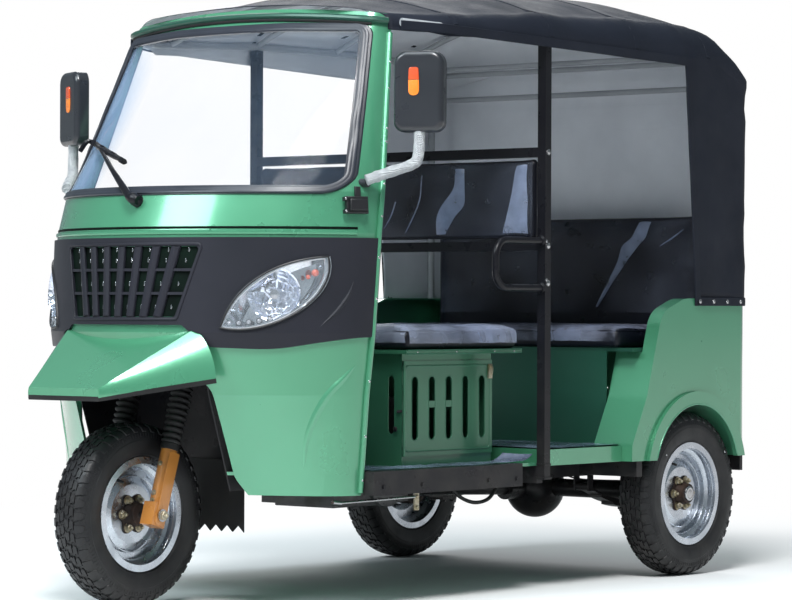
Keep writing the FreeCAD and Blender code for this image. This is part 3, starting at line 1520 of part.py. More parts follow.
def make_rear_panel():
    """Flat rear wall with a ledge along its top and two holes for a number plate."""
    skin = size("body_skin")
    half = size("body_half_width") - size("body_return") - size("seat_gap")
    rear = place("body_rear_y")
    low = place("body_bottom")
    high = size("body_top")
    plate = block(-half, half, rear - skin, rear, low, high)
    ledge = block(-half, half, rear - size("body_return"), rear, high - skin, high)
    panel = plate.fuse(ledge).removeSplitter()
    for side in (1, -1):
        panel = panel.cut(Part.makeCylinder(size("plate_hole_radius"), 4 * skin,
                                            V(side * size("plate_hole_spacing") / 2, rear - 2 * skin, size("plate_height")),
                                            V(0, 1, 0)))
    keep(feature("rear_panel", panel), "rear_panel")


def make_rear_seat_base():
    """Riser under the passenger bench, narrower between the wheelhouses, and the tray on it."""
    wall = size("sheet")
    front = place("rear_seat_y")
    low = place("rear_floor_top")
    high = size("box_top")
    narrow = size("wheelhouse_inner") - wall - size("seat_gap")
    wide = size("body_half_width") - size("body_return") - 3
    riser = block(-narrow, narrow, front, front + wall, low, high)
    tray = block(-wide, wide, front, place("rear_back_y") + size("rear_back_thickness"), high, place("cushion_bottom"))
    keep(feature("rear_seat_base", riser.fuse(tray).removeSplitter()), "rear_seat_base")


def make_tail_lamps():
    """One lamp block near each rear corner."""
    inner = "(sizes.body_half_width - sizes.body_return - 110)"
    left = box("tail_lamp", inner, inner + " + 92", "places.body_rear_y", "places.body_rear_y + sizes.lamp_proud",
               "sizes.body_top - 230", "sizes.body_top - 70")
    keep(both_sides("tail_lamp_pair", left), "tail_lamps")


# ---------------------------------------------------------------------------
# Running gear and underside
# ---------------------------------------------------------------------------


def make_rear_axle():
    """Axle tube, differential with its pinion nose, and a spindle in each hub."""
    half = place("wheel_half_track")
    centre_y = place("rear_axle")
    centre_z = place("axle_height")
    tube_end = half - size("drum_depth") - 5
    spindle_end = half + place("disc_face") + size("hub_nose_length") - 12
    radius = size("differential_radius")
    thin = size("axle_tube_radius")
    reach = radius * 0.9
    edges = [line(V(-tube_end, 0, 0), V(-tube_end, 0, thin)), line(V(-tube_end, 0, thin), V(-reach, 0, thin)),
             arc(V(-reach, 0, thin), V(0, 0, radius), V(reach, 0, thin)), line(V(reach, 0, thin), V(tube_end, 0, thin)),
             line(V(tube_end, 0, thin), V(tube_end, 0, 0)), line(V(tube_end, 0, 0), V(-tube_end, 0, 0))]
    axle = Part.Face(Part.Wire(edges)).revolve(V(), V(1, 0, 0), 360)
    axle.translate(V(0, centre_y, centre_z))
    spindle = Part.makeCylinder(size("spindle_radius"), 2 * spindle_end, V(-spindle_end, centre_y, centre_z), V(1, 0, 0))
    nose = Part.makeCylinder(38, size("pinion_length"), V(0, centre_y, centre_z), V(0, -1, 0))
    keep(feature("rear_axle", axle.fuse([spindle, nose]).removeSplitter()), "rear_axle")


def make_propeller_shaft():
    start_y = place("engine_rear_y")
    end_y = place("rear_axle") - size("pinion_length")
    end_z = place("axle_height")
    flange = size("shaft_flange_radius")
    start_z = place("rail_bottom") - flange - 4
    thick = 12
    first = Part.makeCylinder(flange, thick, V(0, start_y, start_z), V(0, 1, 0))
    last = Part.makeCylinder(38, thick, V(0, end_y, end_z), V(0, -1, 0))
    shaft = rod((0, start_y + thick / 2, start_z), (0, end_y - thick / 2, end_z), size("shaft_radius"))
    shape = shaft.fuse([first, last]).removeSplitter()
    shape = shape.common(block(-100, 100, start_y, end_y, 0, 600))
    keep(feature("propeller_shaft", shape), "propeller_shaft")


def make_leaf_springs():
    """Stacked leaves under the axle tube, their eyes in hangers below the rails."""
    x = place("rail_x")
    half_width = size("leaf_width") / 2
    thick = size("leaf_thickness")
    centre_y = place("rear_axle")
    bottom = place("axle_height") - size("axle_tube_radius") - size("seat_gap")
    camber = size("leaf_camber")
    pieces = []
    for number, share in enumerate((1.0, 0.75, 0.5)):
        reach = size("leaf_half_length") * share
        lift = camber * share ** 2
        top = bottom - number * thick
        ends = [V(x, centre_y + s * reach, top + lift) for s in (-1, 1)]
        upper = arc(ends[0], V(x, centre_y, top), ends[1])
        lower = arc(ends[1] - V(0, 0, thick), V(x, centre_y, top - thick), ends[0] - V(0, 0, thick))
        wire = Part.Wire([upper, line(ends[1], ends[1] - V(0, 0, thick)), lower, line(ends[0] - V(0, 0, thick), ends[0])])
        leaf = Part.Face(wire).extrude(V(2 * half_width, 0, 0))
        leaf.translate(V(-half_width, 0, 0))
        pieces.append(leaf)
    eye_z = bottom + camber - thick / 2
    for s in (-1, 1):
        y = centre_y + s * size("leaf_half_length")
        pieces.append(Part.makeCylinder(13, 2 * half_width, V(x - half_width, y, eye_z), V(1, 0, 0)))
        pieces.append(block(x - half_width - 5, x - half_width, y - 14, y + 14, eye_z - 14, place("rail_bottom")))
        pieces.append(block(x + half_width, x + half_width + 5, y - 14, y + 14, eye_z - 14, place("rail_bottom")))
    stack = bottom - 3 * thick
    pieces.append(block(x - half_width - 4, x + half_width + 4, centre_y - 36, centre_y + 36, stack - 6, stack + 2))
    spring = pieces[0].fuse(pieces[1:]).removeSplitter()
    keep(feature("leaf_springs", Part.makeCompound([spring, mirror_x(spring)])), "leaf_springs")


def make_exhaust():
    """Pipe from under the engine to a silencer slung below the right of the frame."""
    front = place("engine_front_y")
    x = -size("engine_width") / 2 - 95
    radius = size("silencer_radius")
    run_z = place("rail_bottom") - radius - size("seat_gap")
    exit_z = place("rail_bottom") - 24
    pipe = tube([(-size("engine_width") / 2, front + 120, exit_z), (x, front + 120, exit_z), (x, front + 190, run_z),
                 (x, place("rear_seat_y"), run_z)], 15, 18)
    start = place("engine_rear_y") + size("cross_member_width") + 20
    body = Part.makeCylinder(radius, size("silencer_length"), V(x, start, run_z), V(0, 1, 0))
    keep(feature("exhaust", pipe.fuse(body).removeSplitter()), "exhaust")


def make_mudflap():
    """Rubber flap behind the front wheel, its lower edge cut into teeth."""
    half = size("flap_half_width")
    top = size("flap_top")
    low = size("flap_bottom")
    teeth = 8
    pitch = 2 * half / teeth
    y = place("well_rear_y") - size("sheet") - size("seat_gap") - size("flap_thickness")
    corners = [(-half, top, 0)]
    for i in range(teeth):
        corners += [(-half + i * pitch, low, 0), (-half + (i + 0.5) * pitch, low + pitch * 0.45, 0)]
    corners += [(half, low, 0), (half, top, 0)]
    keep(feature("mudflap", front_prism(corners, y, y + size("flap_thickness"))), "mudflap")


# ---------------------------------------------------------------------------
# Build, check and write
# ---------------------------------------------------------------------------

make_wheels()
make_fork_legs()
make_fork_springs()
make_fork_crown()
make_front_axle()
make_handlebar()
make_chassis_frame()
make_cab_shell()
make_front_mask()
make_headlamps()
make_windscreen()
make_wheel_well()
make_floor_pan()
make_front_mudguard()
make_wiper()
make_mirrors()
make_dashboard()
make_canopy()
make_roof_frame()
make_partition_frame()
make_seats()
make_seat_box()
make_box_door("left", "box_door_left")
make_box_door("right", "box_door_right")
make_engine_block()
make_side_panels()
make_rear_panel()
make_rear_seat_base()
make_tail_lamps()
make_rear_axle()
make_propeller_shaft()
make_leaf_springs()
make_exhaust()
make_mudflap()

doc.recompute()

for obj in doc.Objects:
    if "Invalid" in obj.State or "Error" in obj.State:
        raise RuntimeError("%s did not recompute: %s" % (obj.Label, obj.State))
for obj in NODES:
    if obj.Shape.isNull() or not obj.Shape.isValid() or not obj.Shape.Solids:
        raise RuntimeError("%s has no valid solid" % obj.Label)

os.makedirs("parts", exist_ok=True)
for obj in NODES:
    obj.Shape.exportStep("parts/%s.step" % obj.Label)
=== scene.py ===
"""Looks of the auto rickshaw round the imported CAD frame: view, light, materials, soft goods, lamps and trim.

Metres, in the frame of the CAD model: +Z up, the nose towards -Y, the vehicle's left side at +X.
"""

import math

import bmesh
import bpy
from mathutils import Matrix, Vector, noise
from mathutils.bvhtree import BVHTree


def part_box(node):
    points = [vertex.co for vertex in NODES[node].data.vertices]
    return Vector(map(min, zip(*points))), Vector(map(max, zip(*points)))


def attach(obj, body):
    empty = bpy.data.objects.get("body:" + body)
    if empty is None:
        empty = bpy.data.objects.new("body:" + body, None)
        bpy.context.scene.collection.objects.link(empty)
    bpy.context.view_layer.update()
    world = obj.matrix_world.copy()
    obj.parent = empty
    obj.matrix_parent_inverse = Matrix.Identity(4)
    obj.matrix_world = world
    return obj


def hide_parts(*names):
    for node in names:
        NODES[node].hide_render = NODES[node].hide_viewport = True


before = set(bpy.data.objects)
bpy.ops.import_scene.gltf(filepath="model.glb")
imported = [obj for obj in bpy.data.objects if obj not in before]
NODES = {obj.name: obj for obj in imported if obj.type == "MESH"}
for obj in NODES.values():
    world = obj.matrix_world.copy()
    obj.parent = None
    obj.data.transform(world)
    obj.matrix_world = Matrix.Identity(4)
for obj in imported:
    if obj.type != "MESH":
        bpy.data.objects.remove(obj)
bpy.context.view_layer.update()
SCENE = bpy.context.scene

# ---------------------------------------------------------------------------
# Camera, floor and light
# ---------------------------------------------------------------------------

VIEW_ANGLE = 0.686521
VIEW_PLACE = (6.5697, -7.8009, 0.8735)
VIEW_LENS = 145.97
VIEW_ROLL = 0.0036
VIEW_SHIFT = 0.010
VIEW_REACH = 200.0


def make_camera():
    data = bpy.data.cameras.new("camera")
    data.lens = VIEW_LENS
    data.sensor_width = 36.0
    data.shift_y = VIEW_SHIFT
    data.clip_end = VIEW_REACH
    camera = bpy.data.objects.new("camera", data)
    camera.location = VIEW_PLACE
    aim = Matrix.Rotation(VIEW_ANGLE, 4, "Z") @ Matrix.Rotation(math.pi / 2, 4, "X")
    camera.rotation_euler = (aim @ Matrix.Rotation(VIEW_ROLL, 4, "Z")).to_euler()
    SCENE.collection.objects.link(camera)
    SCENE.camera = camera
    SCENE.view_settings.view_transform = "Standard"


LAMP_AIM = Vector((0, 0, 0.9))
LAMPS = [
    # name, place, width of the panel, watts, colour
    ("key", (3.0, -4.0, 7.2), 2.2, 560, (1.0, 1.0, 1.0)),
    ("front", (-1.4, -6.4, 5.6), 3.4, 380, (0.84, 0.95, 1.0)),
    ("back", (-4.0, 5.0, 4.5), 3.5, 150, (1.0, 1.0, 1.0)),
    ("top", (0.6, -2.4, 7.4), 4.0, 240, (0.84, 0.95, 1.0)),
]


def make_lamps():
    for name, spot, width, watts, tint in LAMPS:
        data = bpy.data.lights.new(name, "AREA")
        data.size = width
        data.energy = watts
        data.color = tint
        lamp = bpy.data.objects.new(name, data)
        lamp.location = spot
        lamp.rotation_euler = (LAMP_AIM - Vector(spot)).to_track_quat("-Z", "Y").to_euler()
        SCENE.collection.objects.link(lamp)


WORLD_LEVEL = 0.26
WORLD_TINT = (0.78, 0.93, 1.0)
WHITE = (1.0, 1.0, 1.0)


def make_world():
    """A pale blue world that the camera, also through glass, sees as white."""
    world = bpy.data.worlds.new("studio")
    SCENE.world = world
    world.use_nodes = True
    nodes, links = world.node_tree.nodes, world.node_tree.links
    background = nodes["Background"]
    path = nodes.new("ShaderNodeLightPath")
    seen = add_values(nodes, links, "MAXIMUM", path.outputs["Is Camera Ray"],
                      path.outputs["Is Transmission Ray"])
    links.new(remap(nodes, links, seen, 0.0, 1.0, WORLD_LEVEL, 1.0), background.inputs["Strength"])
    links.new(blend_colors(nodes, links, seen, WORLD_TINT, WHITE), background.inputs["Color"])


def add_values(nodes, links, operation, first, second):
    """A math node on two sockets or numbers; gives its output."""
    node = nodes.new("ShaderNodeMath")
    node.operation = operation
    for slot, value in zip(node.inputs, (first, second)):
        if hasattr(value, "is_output"):
            links.new(value, slot)
        else:
            slot.default_value = value
    return node.outputs[0]


FLOOR_SIZE = 120
FLOOR_COLOR = (0.93, 0.93, 0.93, 1)
FADE_START, FADE_END = 1.6, 4.2


def make_floor():
    """A pale floor that takes the shadow near the vehicle and fades to plain white further out."""
    bpy.ops.mesh.primitive_plane_add(size=FLOOR_SIZE)
    floor = bpy.context.object
    floor.name = "floor"
    material = bpy.data.materials.new("pale_floor")
    material.use_nodes = True
    nodes, links = material.node_tree.nodes, material.node_tree.links
    surface = nodes["Principled BSDF"]
    surface.inputs["Base Color"].default_value = FLOOR_COLOR
    surface.inputs["Roughness"].default_value = 0.9
    surface.inputs["Specular IOR Level"].default_value = 0.1
    place = nodes.new("ShaderNodeTexCoord")
    length = nodes.new("ShaderNodeVectorMath")
    length.operation = "LENGTH"
    links.new(place.outputs["Object"], length.inputs[0])
    spread = nodes.new("ShaderNodeMapRange")
    spread.interpolation_type = "SMOOTHSTEP"
    spread.inputs["From Min"].default_value = FADE_START
    spread.inputs["From Max"].default_value = FADE_END
    links.new(length.outputs["Value"], spread.inputs["Value"])
    glow = nodes.new("ShaderNodeEmission")
    glow.inputs["Strength"].default_value = 1.0
    path = nodes.new("ShaderNodeLightPath")
    seen = add_values(nodes, links, "MAXIMUM", path.outputs["Is Camera Ray"], path.outputs["Is Glossy Ray"])
    seen = add_values(nodes, links, "MAXIMUM", seen, path.outputs["Is Transmission Ray"])
    share = add_values(nodes, links, "MULTIPLY", seen, spread.outputs["Result"])
    mix = nodes.new("ShaderNodeMixShader")
    links.new(share, mix.inputs["Fac"])
    links.new(surface.outputs["BSDF"], mix.inputs[1])
    links.new(glow.outputs["Emission"], mix.inputs[2])
    links.new(mix.outputs["Shader"], nodes["Material Output"].inputs["Surface"])
    floor.data.materials.append(material)


# ---------------------------------------------------------------------------
# Materials
# ---------------------------------------------------------------------------


def coordinates(nodes, links, scale=(1, 1, 1)):
    place = nodes.new("ShaderNodeTexCoord")
    mapping = nodes.new("ShaderNodeMapping")
    mapping.inputs["Scale"].default_value = scale
    links.new(place.outputs["Object"], mapping.inputs["Vector"])
    return mapping.outputs["Vector"]


def noise_of(nodes, links, scale, detail=4.0, stretch=(1, 1, 1)):
    texture = nodes.new("ShaderNodeTexNoise")
    texture.inputs["Scale"].default_value = scale
    texture.inputs["Detail"].default_value = detail
    links.new(coordinates(nodes, links, stretch), texture.inputs["Vector"])
    return texture.outputs["Fac"]


def remap(nodes, links, value, low, high, out_low, out_high):
    ramp = nodes.new("ShaderNodeMapRange")
    for name, number in (("From Min", low), ("From Max", high), ("To Min", out_low), ("To Max", out_high)):
        ramp.inputs[name].default_value = number
    links.new(value, ramp.inputs["Value"])
    return ramp.outputs["Result"]


def blend_colors(nodes, links, share, first, second):
    """Mix two colours, each a colour or a socket, by a share socket."""
    mix = nodes.new("ShaderNodeMix")
    mix.data_type = "RGBA"
    links.new(share, mix.inputs["Factor"])
    for slot, value in ((mix.inputs[6], first), (mix.inputs[7], second)):
        if hasattr(value, "is_output"):
            links.new(value, slot)
        else:
            slot.default_value = (*value, 1)
    return mix.outputs[2]


def grain_height(nodes, links, kind, scale):
    """Height of a surface grain: noise, leather cells, woven threads, brushed lines or a raised net."""
    if kind == "noise":
        return noise_of(nodes, links, scale, 6.0)
    if kind == "leather":
        cells = nodes.new("ShaderNodeTexVoronoi")
        cells.feature = "DISTANCE_TO_EDGE"
        cells.inputs["Scale"].default_value = scale
        links.new(coordinates(nodes, links), cells.inputs["Vector"])
        return remap(nodes, links, cells.outputs["Distance"], 0.0, 0.25, 0.0, 1.0)
    if kind == "brushed":
        return noise_of(nodes, links, scale, 3.0, (0.05, 1, 1))
    waves = []
    for axis in ("X", "Y", "Z"):
        wave = nodes.new("ShaderNodeTexWave")
        wave.bands_direction = axis if kind == "weave" else "DIAGONAL"
        wave.inputs["Scale"].default_value = scale
        stretch = (1, 1, 1) if kind == "weave" else {"X": (1, 1, 1), "Y": (-1, 1, 1), "Z": (1, -1, 1)}[axis]
        links.new(coordinates(nodes, links, stretch), wave.inputs["Vector"])
        waves.append(wave.outputs["Fac"])
    first = add_values(nodes, links, "ADD", waves[0], waves[1])
    return add_values(nodes, links, "ADD", first, waves[2])


DUST_HEIGHTS = (0.15, 0.75)
DUST_COLOR = (0.30, 0.27, 0.22)
COAT_ROUGHNESS = 0.12


def finish_material(name, color, second, patch=5.0, rough=(0.3, 0.5), metallic=0.0, coat=0.0, sheen=0.0,
                    grain=None, dust=0.0, alpha=None, glow=0.0, specular=0.5, edge=0.0):
    """A Principled material: two close colours in patches, uneven gloss, a grain, and dust low down."""
    material = bpy.data.materials.new(name)
    material.use_nodes = True
    nodes, links = material.node_tree.nodes, material.node_tree.links
    surface = nodes["Principled BSDF"]
    patches = remap(nodes, links, noise_of(nodes, links, patch), 0.35, 0.65, 0.0, 1.0)
    paint = blend_colors(nodes, links, patches, color, second)
    if dust:
        place = nodes.new("ShaderNodeTexCoord")
        split = nodes.new("ShaderNodeSeparateXYZ")
        links.new(place.outputs["Object"], split.inputs["Vector"])
        low = remap(nodes, links, split.outputs["Z"], *DUST_HEIGHTS, dust, dust * 0.1)
        speckle = remap(nodes, links, noise_of(nodes, links, 14.0, 8.0), 0.35, 0.75, 0.2, 1.0)
        paint = blend_colors(nodes, links, add_values(nodes, links, "MULTIPLY", low, speckle), paint,
                             DUST_COLOR)
    links.new(paint, surface.inputs["Base Color"])
    uneven = noise_of(nodes, links, patch * 3, 6.0)
    links.new(remap(nodes, links, uneven, 0.3, 0.7, *rough), surface.inputs["Roughness"])
    surface.inputs["Metallic"].default_value = metallic
    surface.inputs["Coat Weight"].default_value = coat
    surface.inputs["Coat Roughness"].default_value = COAT_ROUGHNESS
    surface.inputs["Sheen Weight"].default_value = sheen
    surface.inputs["Specular IOR Level"].default_value = specular
    if grain:
        kind, scale, strength, depth = grain
        bump = nodes.new("ShaderNodeBump")
        bump.inputs["Strength"].default_value = strength
        bump.inputs["Distance"].default_value = depth
        links.new(grain_height(nodes, links, kind, scale), bump.inputs["Height"])
        links.new(bump.outputs["Normal"], surface.inputs["Normal"])
    if alpha:
        cover = remap(nodes, links, noise_of(nodes, links, patch * 2, 5.0), 0.35, 0.7, *alpha)
        # a pale cover that grows where a surface is seen at grazing angles: painted reflection (only the glass
        # uses it)
        if edge:
            facing = nodes.new("ShaderNodeLayerWeight")
            painted_glare = remap(nodes, links, facing.outputs["Facing"], 0.62, 0.92, 0.0, edge)
            cover = add_values(nodes, links, "MAXIMUM", cover, painted_glare)
        links.new(cover, surface.inputs["Alpha"])
    # a glow in the surface's own colour: painted light, for none of these lenses and reflectors is lit
    if glow:
        surface.inputs["Emission Color"].default_value = (*color, 1)
        surface.inputs["Emission Strength"].default_value = glow
    return material


PAINT = ("noise", 900, 0.05, 0.0004)
ENAMEL = ("noise", 250, 0.06, 0.001)
PRISMS = dict(patch=30.0, rough=(0.12, 0.2), coat=0.5, grain=("leather", 260, 0.4, 0.001))
FINISHES = {
    # name: colour, second colour, then the settings that differ from the usual ones
    "green": ((0.070, 0.290, 0.160), (0.078, 0.310, 0.174),
              dict(patch=2.2, rough=(0.26, 0.34), metallic=0.35, coat=1.0, grain=PAINT,
                   dust=0.012)),
    # the green paint made darker: painted shade for the seat box, its doors and the trim on them, which sit in
    # the cabin's shade
    "green_inner": ((0.034, 0.150, 0.082), (0.040, 0.164, 0.092),
                    dict(patch=2.2, rough=(0.30, 0.40), metallic=0.30, coat=0.5,
                         grain=PAINT, dust=0.04)),
    # the green paint made darker still: painted shade for the rear seat base and the header visor, which lie
    # in shadow
    "green_deep": ((0.012, 0.070, 0.045), (0.016, 0.082, 0.054),
                   dict(patch=2.2, rough=(0.34, 0.46), metallic=0.20, coat=0.3,
                        grain=PAINT, dust=0.03)),
    # near-black green: painted shade in the grille's openings and in the fold across the cowl
    "green_shade": ((0.0010, 0.0030, 0.0024), (0.0020, 0.0080, 0.0050),
                    dict(patch=14.0, rough=(0.5, 0.7), specular=0.08,
                    grain=("noise", 300, 0.1, 0.001))),
    "mask": ((0.014, 0.015, 0.021), (0.018, 0.018, 0.026),
             dict(patch=3.0, rough=(0.40, 0.50), specular=0.26, grain=("noise", 1400, 0.12, 0.0004),
                  dust=0.02)),
    "black_paint": ((0.005, 0.005, 0.008), (0.008, 0.008, 0.011),
                    dict(rough=(0.24, 0.36), specular=0.22, grain=ENAMEL, dust=0.10)),
    "bar_grey": ((0.36, 0.37, 0.39), (0.30, 0.31, 0.33), dict(rough=(0.35, 0.5), specular=0.3,
                 grain=ENAMEL)),
    "mirror_black": ((0.016, 0.018, 0.023), (0.020, 0.022, 0.028), dict(rough=(0.26, 0.34), coat=0.3,
                     grain=("noise", 1800, 0.06, 0.0003))),
    "rubber": ((0.009, 0.009, 0.010), (0.014, 0.014, 0.015), dict(rough=(0.5, 0.7), specular=0.3,
               grain=("noise", 260, 0.15, 0.001), dust=0.05)),
    "seal": ((0.020, 0.023, 0.032), (0.028, 0.031, 0.042), dict(rough=(0.28, 0.38), specular=0.4,
             grain=("noise", 400, 0.06, 0.0006))),
    "tyre": ((0.008, 0.008, 0.010), (0.014, 0.014, 0.016),
             dict(patch=9.0, rough=(0.36, 0.56), specular=0.32, grain=("noise", 320, 0.25, 0.0012),
                  dust=0.05)),
    "rim": ((0.58, 0.61, 0.66), (0.46, 0.49, 0.54),
            dict(patch=9.0, rough=(0.20, 0.34), metallic=0.95, grain=("noise", 180, 0.05, 0.0008))),
    "hub": ((0.050, 0.026, 0.017), (0.016, 0.011, 0.010),
            dict(patch=30.0, rough=(0.5, 0.8), metallic=0.2, grain=("noise", 220, 0.4, 0.001))),
    "orange": ((0.50, 0.20, 0.040), (0.44, 0.165, 0.032),
               dict(rough=(0.25, 0.36), coat=0.4, grain=("noise", 300, 0.06, 0.0006))),
    "zinc": ((0.36, 0.30, 0.18), (0.46, 0.42, 0.34), dict(patch=40.0, rough=(0.3, 0.5), metallic=0.9,
             grain=("noise", 500, 0.1, 0.0005))),
    "steel": ((0.50, 0.50, 0.51), (0.40, 0.40, 0.41), dict(patch=20.0, rough=(0.18, 0.3), metallic=1.0,
              grain=("noise", 300, 0.05, 0.0004))),
    "chrome": ((0.86, 0.87, 0.90), (0.80, 0.81, 0.84), dict(patch=30.0, rough=(0.05, 0.12), metallic=1.0,
               grain=("noise", 60, 0.05, 0.002))),
    "canopy": ((0.0085, 0.0110, 0.0190), (0.0120, 0.0150, 0.0250),
               dict(patch=3.5, rough=(0.52, 0.66), specular=0.20, grain=("weave", 160, 0.22, 0.0008),
                    dust=0.01)),
    "lining": ((0.78, 0.79, 0.83), (0.70, 0.71, 0.75),
               dict(rough=(0.7, 0.85), specular=0.2, grain=("weave", 220, 0.3, 0.0008))),
    "vinyl": ((0.0040, 0.0050, 0.0095), (0.0060, 0.0072, 0.0130),
              dict(patch=6.0, rough=(0.26, 0.38), specular=0.25, grain=("leather", 420, 0.35, 0.0008))),
    # faint pale blue patches: partly the clear film's own haze, partly painted sheen
    "film": ((0.50, 0.56, 0.72), (0.36, 0.42, 0.58),
             dict(patch=2.6, rough=(0.05, 0.14), specular=0.5, grain=("noise", 16, 0.5, 0.010),
                  alpha=(0.0, 0.10))),
    # pale blue-white, often over half opaque: painted sheen of the clear film on the seats
    "film_bright": ((0.66, 0.72, 0.92), (0.40, 0.46, 0.66),
                    dict(patch=3.2, rough=(0.08, 0.20), specular=0.7, grain=("noise", 14, 0.8, 0.014),
                         alpha=(0.04, 0.62))),
    # pale strips on the backrests: folds in the film, their pale colour a painted glint
    "film_fold": ((0.34, 0.40, 0.56), (0.24, 0.29, 0.42),
                  dict(patch=9.0, rough=(0.10, 0.22), specular=0.6, grain=("noise", 30, 0.6, 0.006),
                       alpha=(0.45, 0.78))),
    # bluish glass that covers more at grazing angles: painted reflection of the sky
    "glass": ((0.30, 0.42, 0.60), (0.22, 0.33, 0.50),
              dict(patch=1.5, rough=(0.02, 0.05), specular=0.4, alpha=(0.02, 0.05), edge=0.85)),
    "lens": ((0.80, 0.86, 0.94), (0.72, 0.80, 0.90), dict(patch=8.0, rough=(0.02, 0.05), alpha=(0.05, 0.12))),
    # the amber and red lenses and reflectors glow a little: painted light, as none of them is lit
    "amber": ((0.85, 0.24, 0.02), (0.75, 0.18, 0.015), dict(PRISMS, glow=0.10)),
    "amber_dark": ((0.62, 0.075, 0.012), (0.52, 0.055, 0.010), dict(PRISMS, glow=0.05)),
    "red": ((0.48, 0.012, 0.010), (0.40, 0.010, 0.008), dict(PRISMS, glow=0.06)),
    "wrap": ((0.78, 0.80, 0.82), (0.60, 0.62, 0.65),
             dict(patch=60.0, rough=(0.5, 0.8), grain=("net", 95, 0.9, 0.004))),
    "engine": ((0.10, 0.10, 0.11), (0.06, 0.06, 0.06), dict(patch=12.0, rough=(0.45, 0.7), metallic=0.7,
               grain=("noise", 120, 0.5, 0.002), dust=0.2)),
    "exhaust": ((0.10, 0.09, 0.08), (0.16, 0.13, 0.11), dict(patch=9.0, rough=(0.4, 0.6), metallic=0.8,
                grain=("noise", 200, 0.2, 0.001), dust=0.2)),
    "plastic_dark": ((0.011, 0.011, 0.013), (0.015, 0.015, 0.017), dict(rough=(0.36, 0.5), specular=0.4,
                     grain=("noise", 1500, 0.15, 0.0004))),
    "dial": ((0.85, 0.86, 0.84), (0.80, 0.81, 0.79),
             dict(patch=50.0, rough=(0.3, 0.4), grain=("noise", 900, 0.05, 0.0003))),
    # near-black floor cover under shiny film, with pale blue-grey patches: painted reflections of the sky in
    # the film
    "mat": ((0.012, 0.018, 0.045), (0.26, 0.32, 0.46),
            dict(patch=7.0, rough=(0.12, 0.34), coat=0.6, grain=("noise", 26, 0.6, 0.008))),
    "mirror": ((0.86, 0.88, 0.90), (0.84, 0.86, 0.88),
               dict(patch=4.0, rough=(0.01, 0.03), metallic=1.0, grain=("noise", 3, 0.01, 0.001))),
    "reflector": ((0.78, 0.82, 0.92), (0.62, 0.68, 0.82),
                  dict(patch=24.0, rough=(0.10, 0.22), metallic=0.95, grain=("leather", 46, 0.35, 0.004))),
    "led": ((0.34, 0.34, 0.36), (0.20, 0.20, 0.22), dict(patch=90.0, rough=(0.1, 0.2), coat=0.8,
            grain=("noise", 400, 0.1, 0.0005))),
}
FINISH = {}

NODE_FINISHES = {
    "green": ["cab_shell", "front_mudguard", "floor_pan", "side_panels", "rear_panel"],
    # painted shade: the seat box and its doors take the darker green
    "green_inner": ["seat_box", "box_door_left", "box_door_right"],
    # painted shade: the rear seat base takes the darkest copy of the green paint
    "green_deep": ["rear_seat_base"],
    "mask": ["front_mask"],
    "plastic_dark": ["dashboard"],
    "bar_grey": ["roof_frame"],
    "black_paint": ["chassis_frame", "partition_frame", "rear_axle", "leaf_springs", "propeller_shaft",
                    "fork_crown", "handlebar", "wiper", "wheel_well"],
    "mirror_black": ["mirrors"],
    "lens": ["headlamp_lenses"],
    "chrome": ["headlamp_bowls"],
    "red": ["tail_lamps"],
    "glass": ["windscreen"],
    "seal": ["windscreen_seal"],
    "rubber": ["mudflap", "fork_springs"],
    "tyre": ["front_tyre", "rear_left_tyre", "rear_right_tyre"],
    "rim": ["front_rim", "rear_left_rim", "rear_right_rim"],
    "hub": ["front_hub", "rear_left_hub", "rear_right_hub"],
    "orange": ["fork_legs"],
    "steel": ["front_axle"],
    "canopy": ["canopy"],
    "vinyl": ["seat_cushions", "backrests"],
    "engine": ["engine_block"],
    "exhaust": ["exhaust"],
}


def dress_nodes():
    for name, (color, second, settings) in FINISHES.items():
        FINISH[name] = finish_material(name, color, second, **settings)
    for finish, nodes in NODE_FINISHES.items():
        for node in nodes:
            data = NODES[node].data
            data.materials.clear()
            data.materials.append(FINISH[finish])


# ---------------------------------------------------------------------------
# Ways of making pieces
# ---------------------------------------------------------------------------


def joined(parts):
    """One list of points and faces from several."""
    points, faces = [], []
    for some_points, some_faces in parts:
        start = len(points)
        points += [Vector(p) for p in some_points]
        faces += [[i + start for i in face] for face in some_faces]
    return points, faces


SMOOTH_ANGLE = math.radians(38)


def piece(name, parts, finish, body="chassis"):
    """A mesh object from (points, faces) parts that rides on a body, in one finish or in several."""
    points, faces = joined(parts)
    mesh = bpy.data.meshes.new(name)
    mesh.from_pydata(points, [], faces)
    mesh.validate()
    finishes = [finish] if isinstance(finish, str) else finish
    for each in finishes:
        mesh.materials.append(FINISH[each])
    mesh.polygons.foreach_set("use_smooth", [True] * len(mesh.polygons))
    mesh.set_sharp_from_angle(angle=SMOOTH_ANGLE)
    obj = bpy.data.objects.new(name, mesh)
    SCENE.collection.objects.link(obj)
    if body:
        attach(obj, body)
    return obj


def mirror(parts):
    """The parts' mirror images across the vehicle's middle."""
    return [([(-p[0], p[1], p[2]) for p in points], [list(reversed(face)) for face in faces]) for points,
            faces in parts]


def both(parts):
    return parts + mirror(parts)


def smooth_line(points, steps=8):
    """Points along a Catmull-Rom curve through the given ones."""
    points = [Vector(p) for p in points]
    ends = [points[0] * 2 - points[1]] + points + [points[-1] * 2 - points[-2]]
    line = []
    for a, b, c, d in zip(ends, ends[1:], ends[2:], ends[3:]):
        for step in range(steps):
            t = step / steps
            square, cube = (2 * a - 5 * b + 4 * c - d) * t ** 2, (3 * b - a - 3 * c + d) * t ** 3
            line.append(0.5 * (2 * b + (c - a) * t + square + cube))
    return line + [points[-1]]


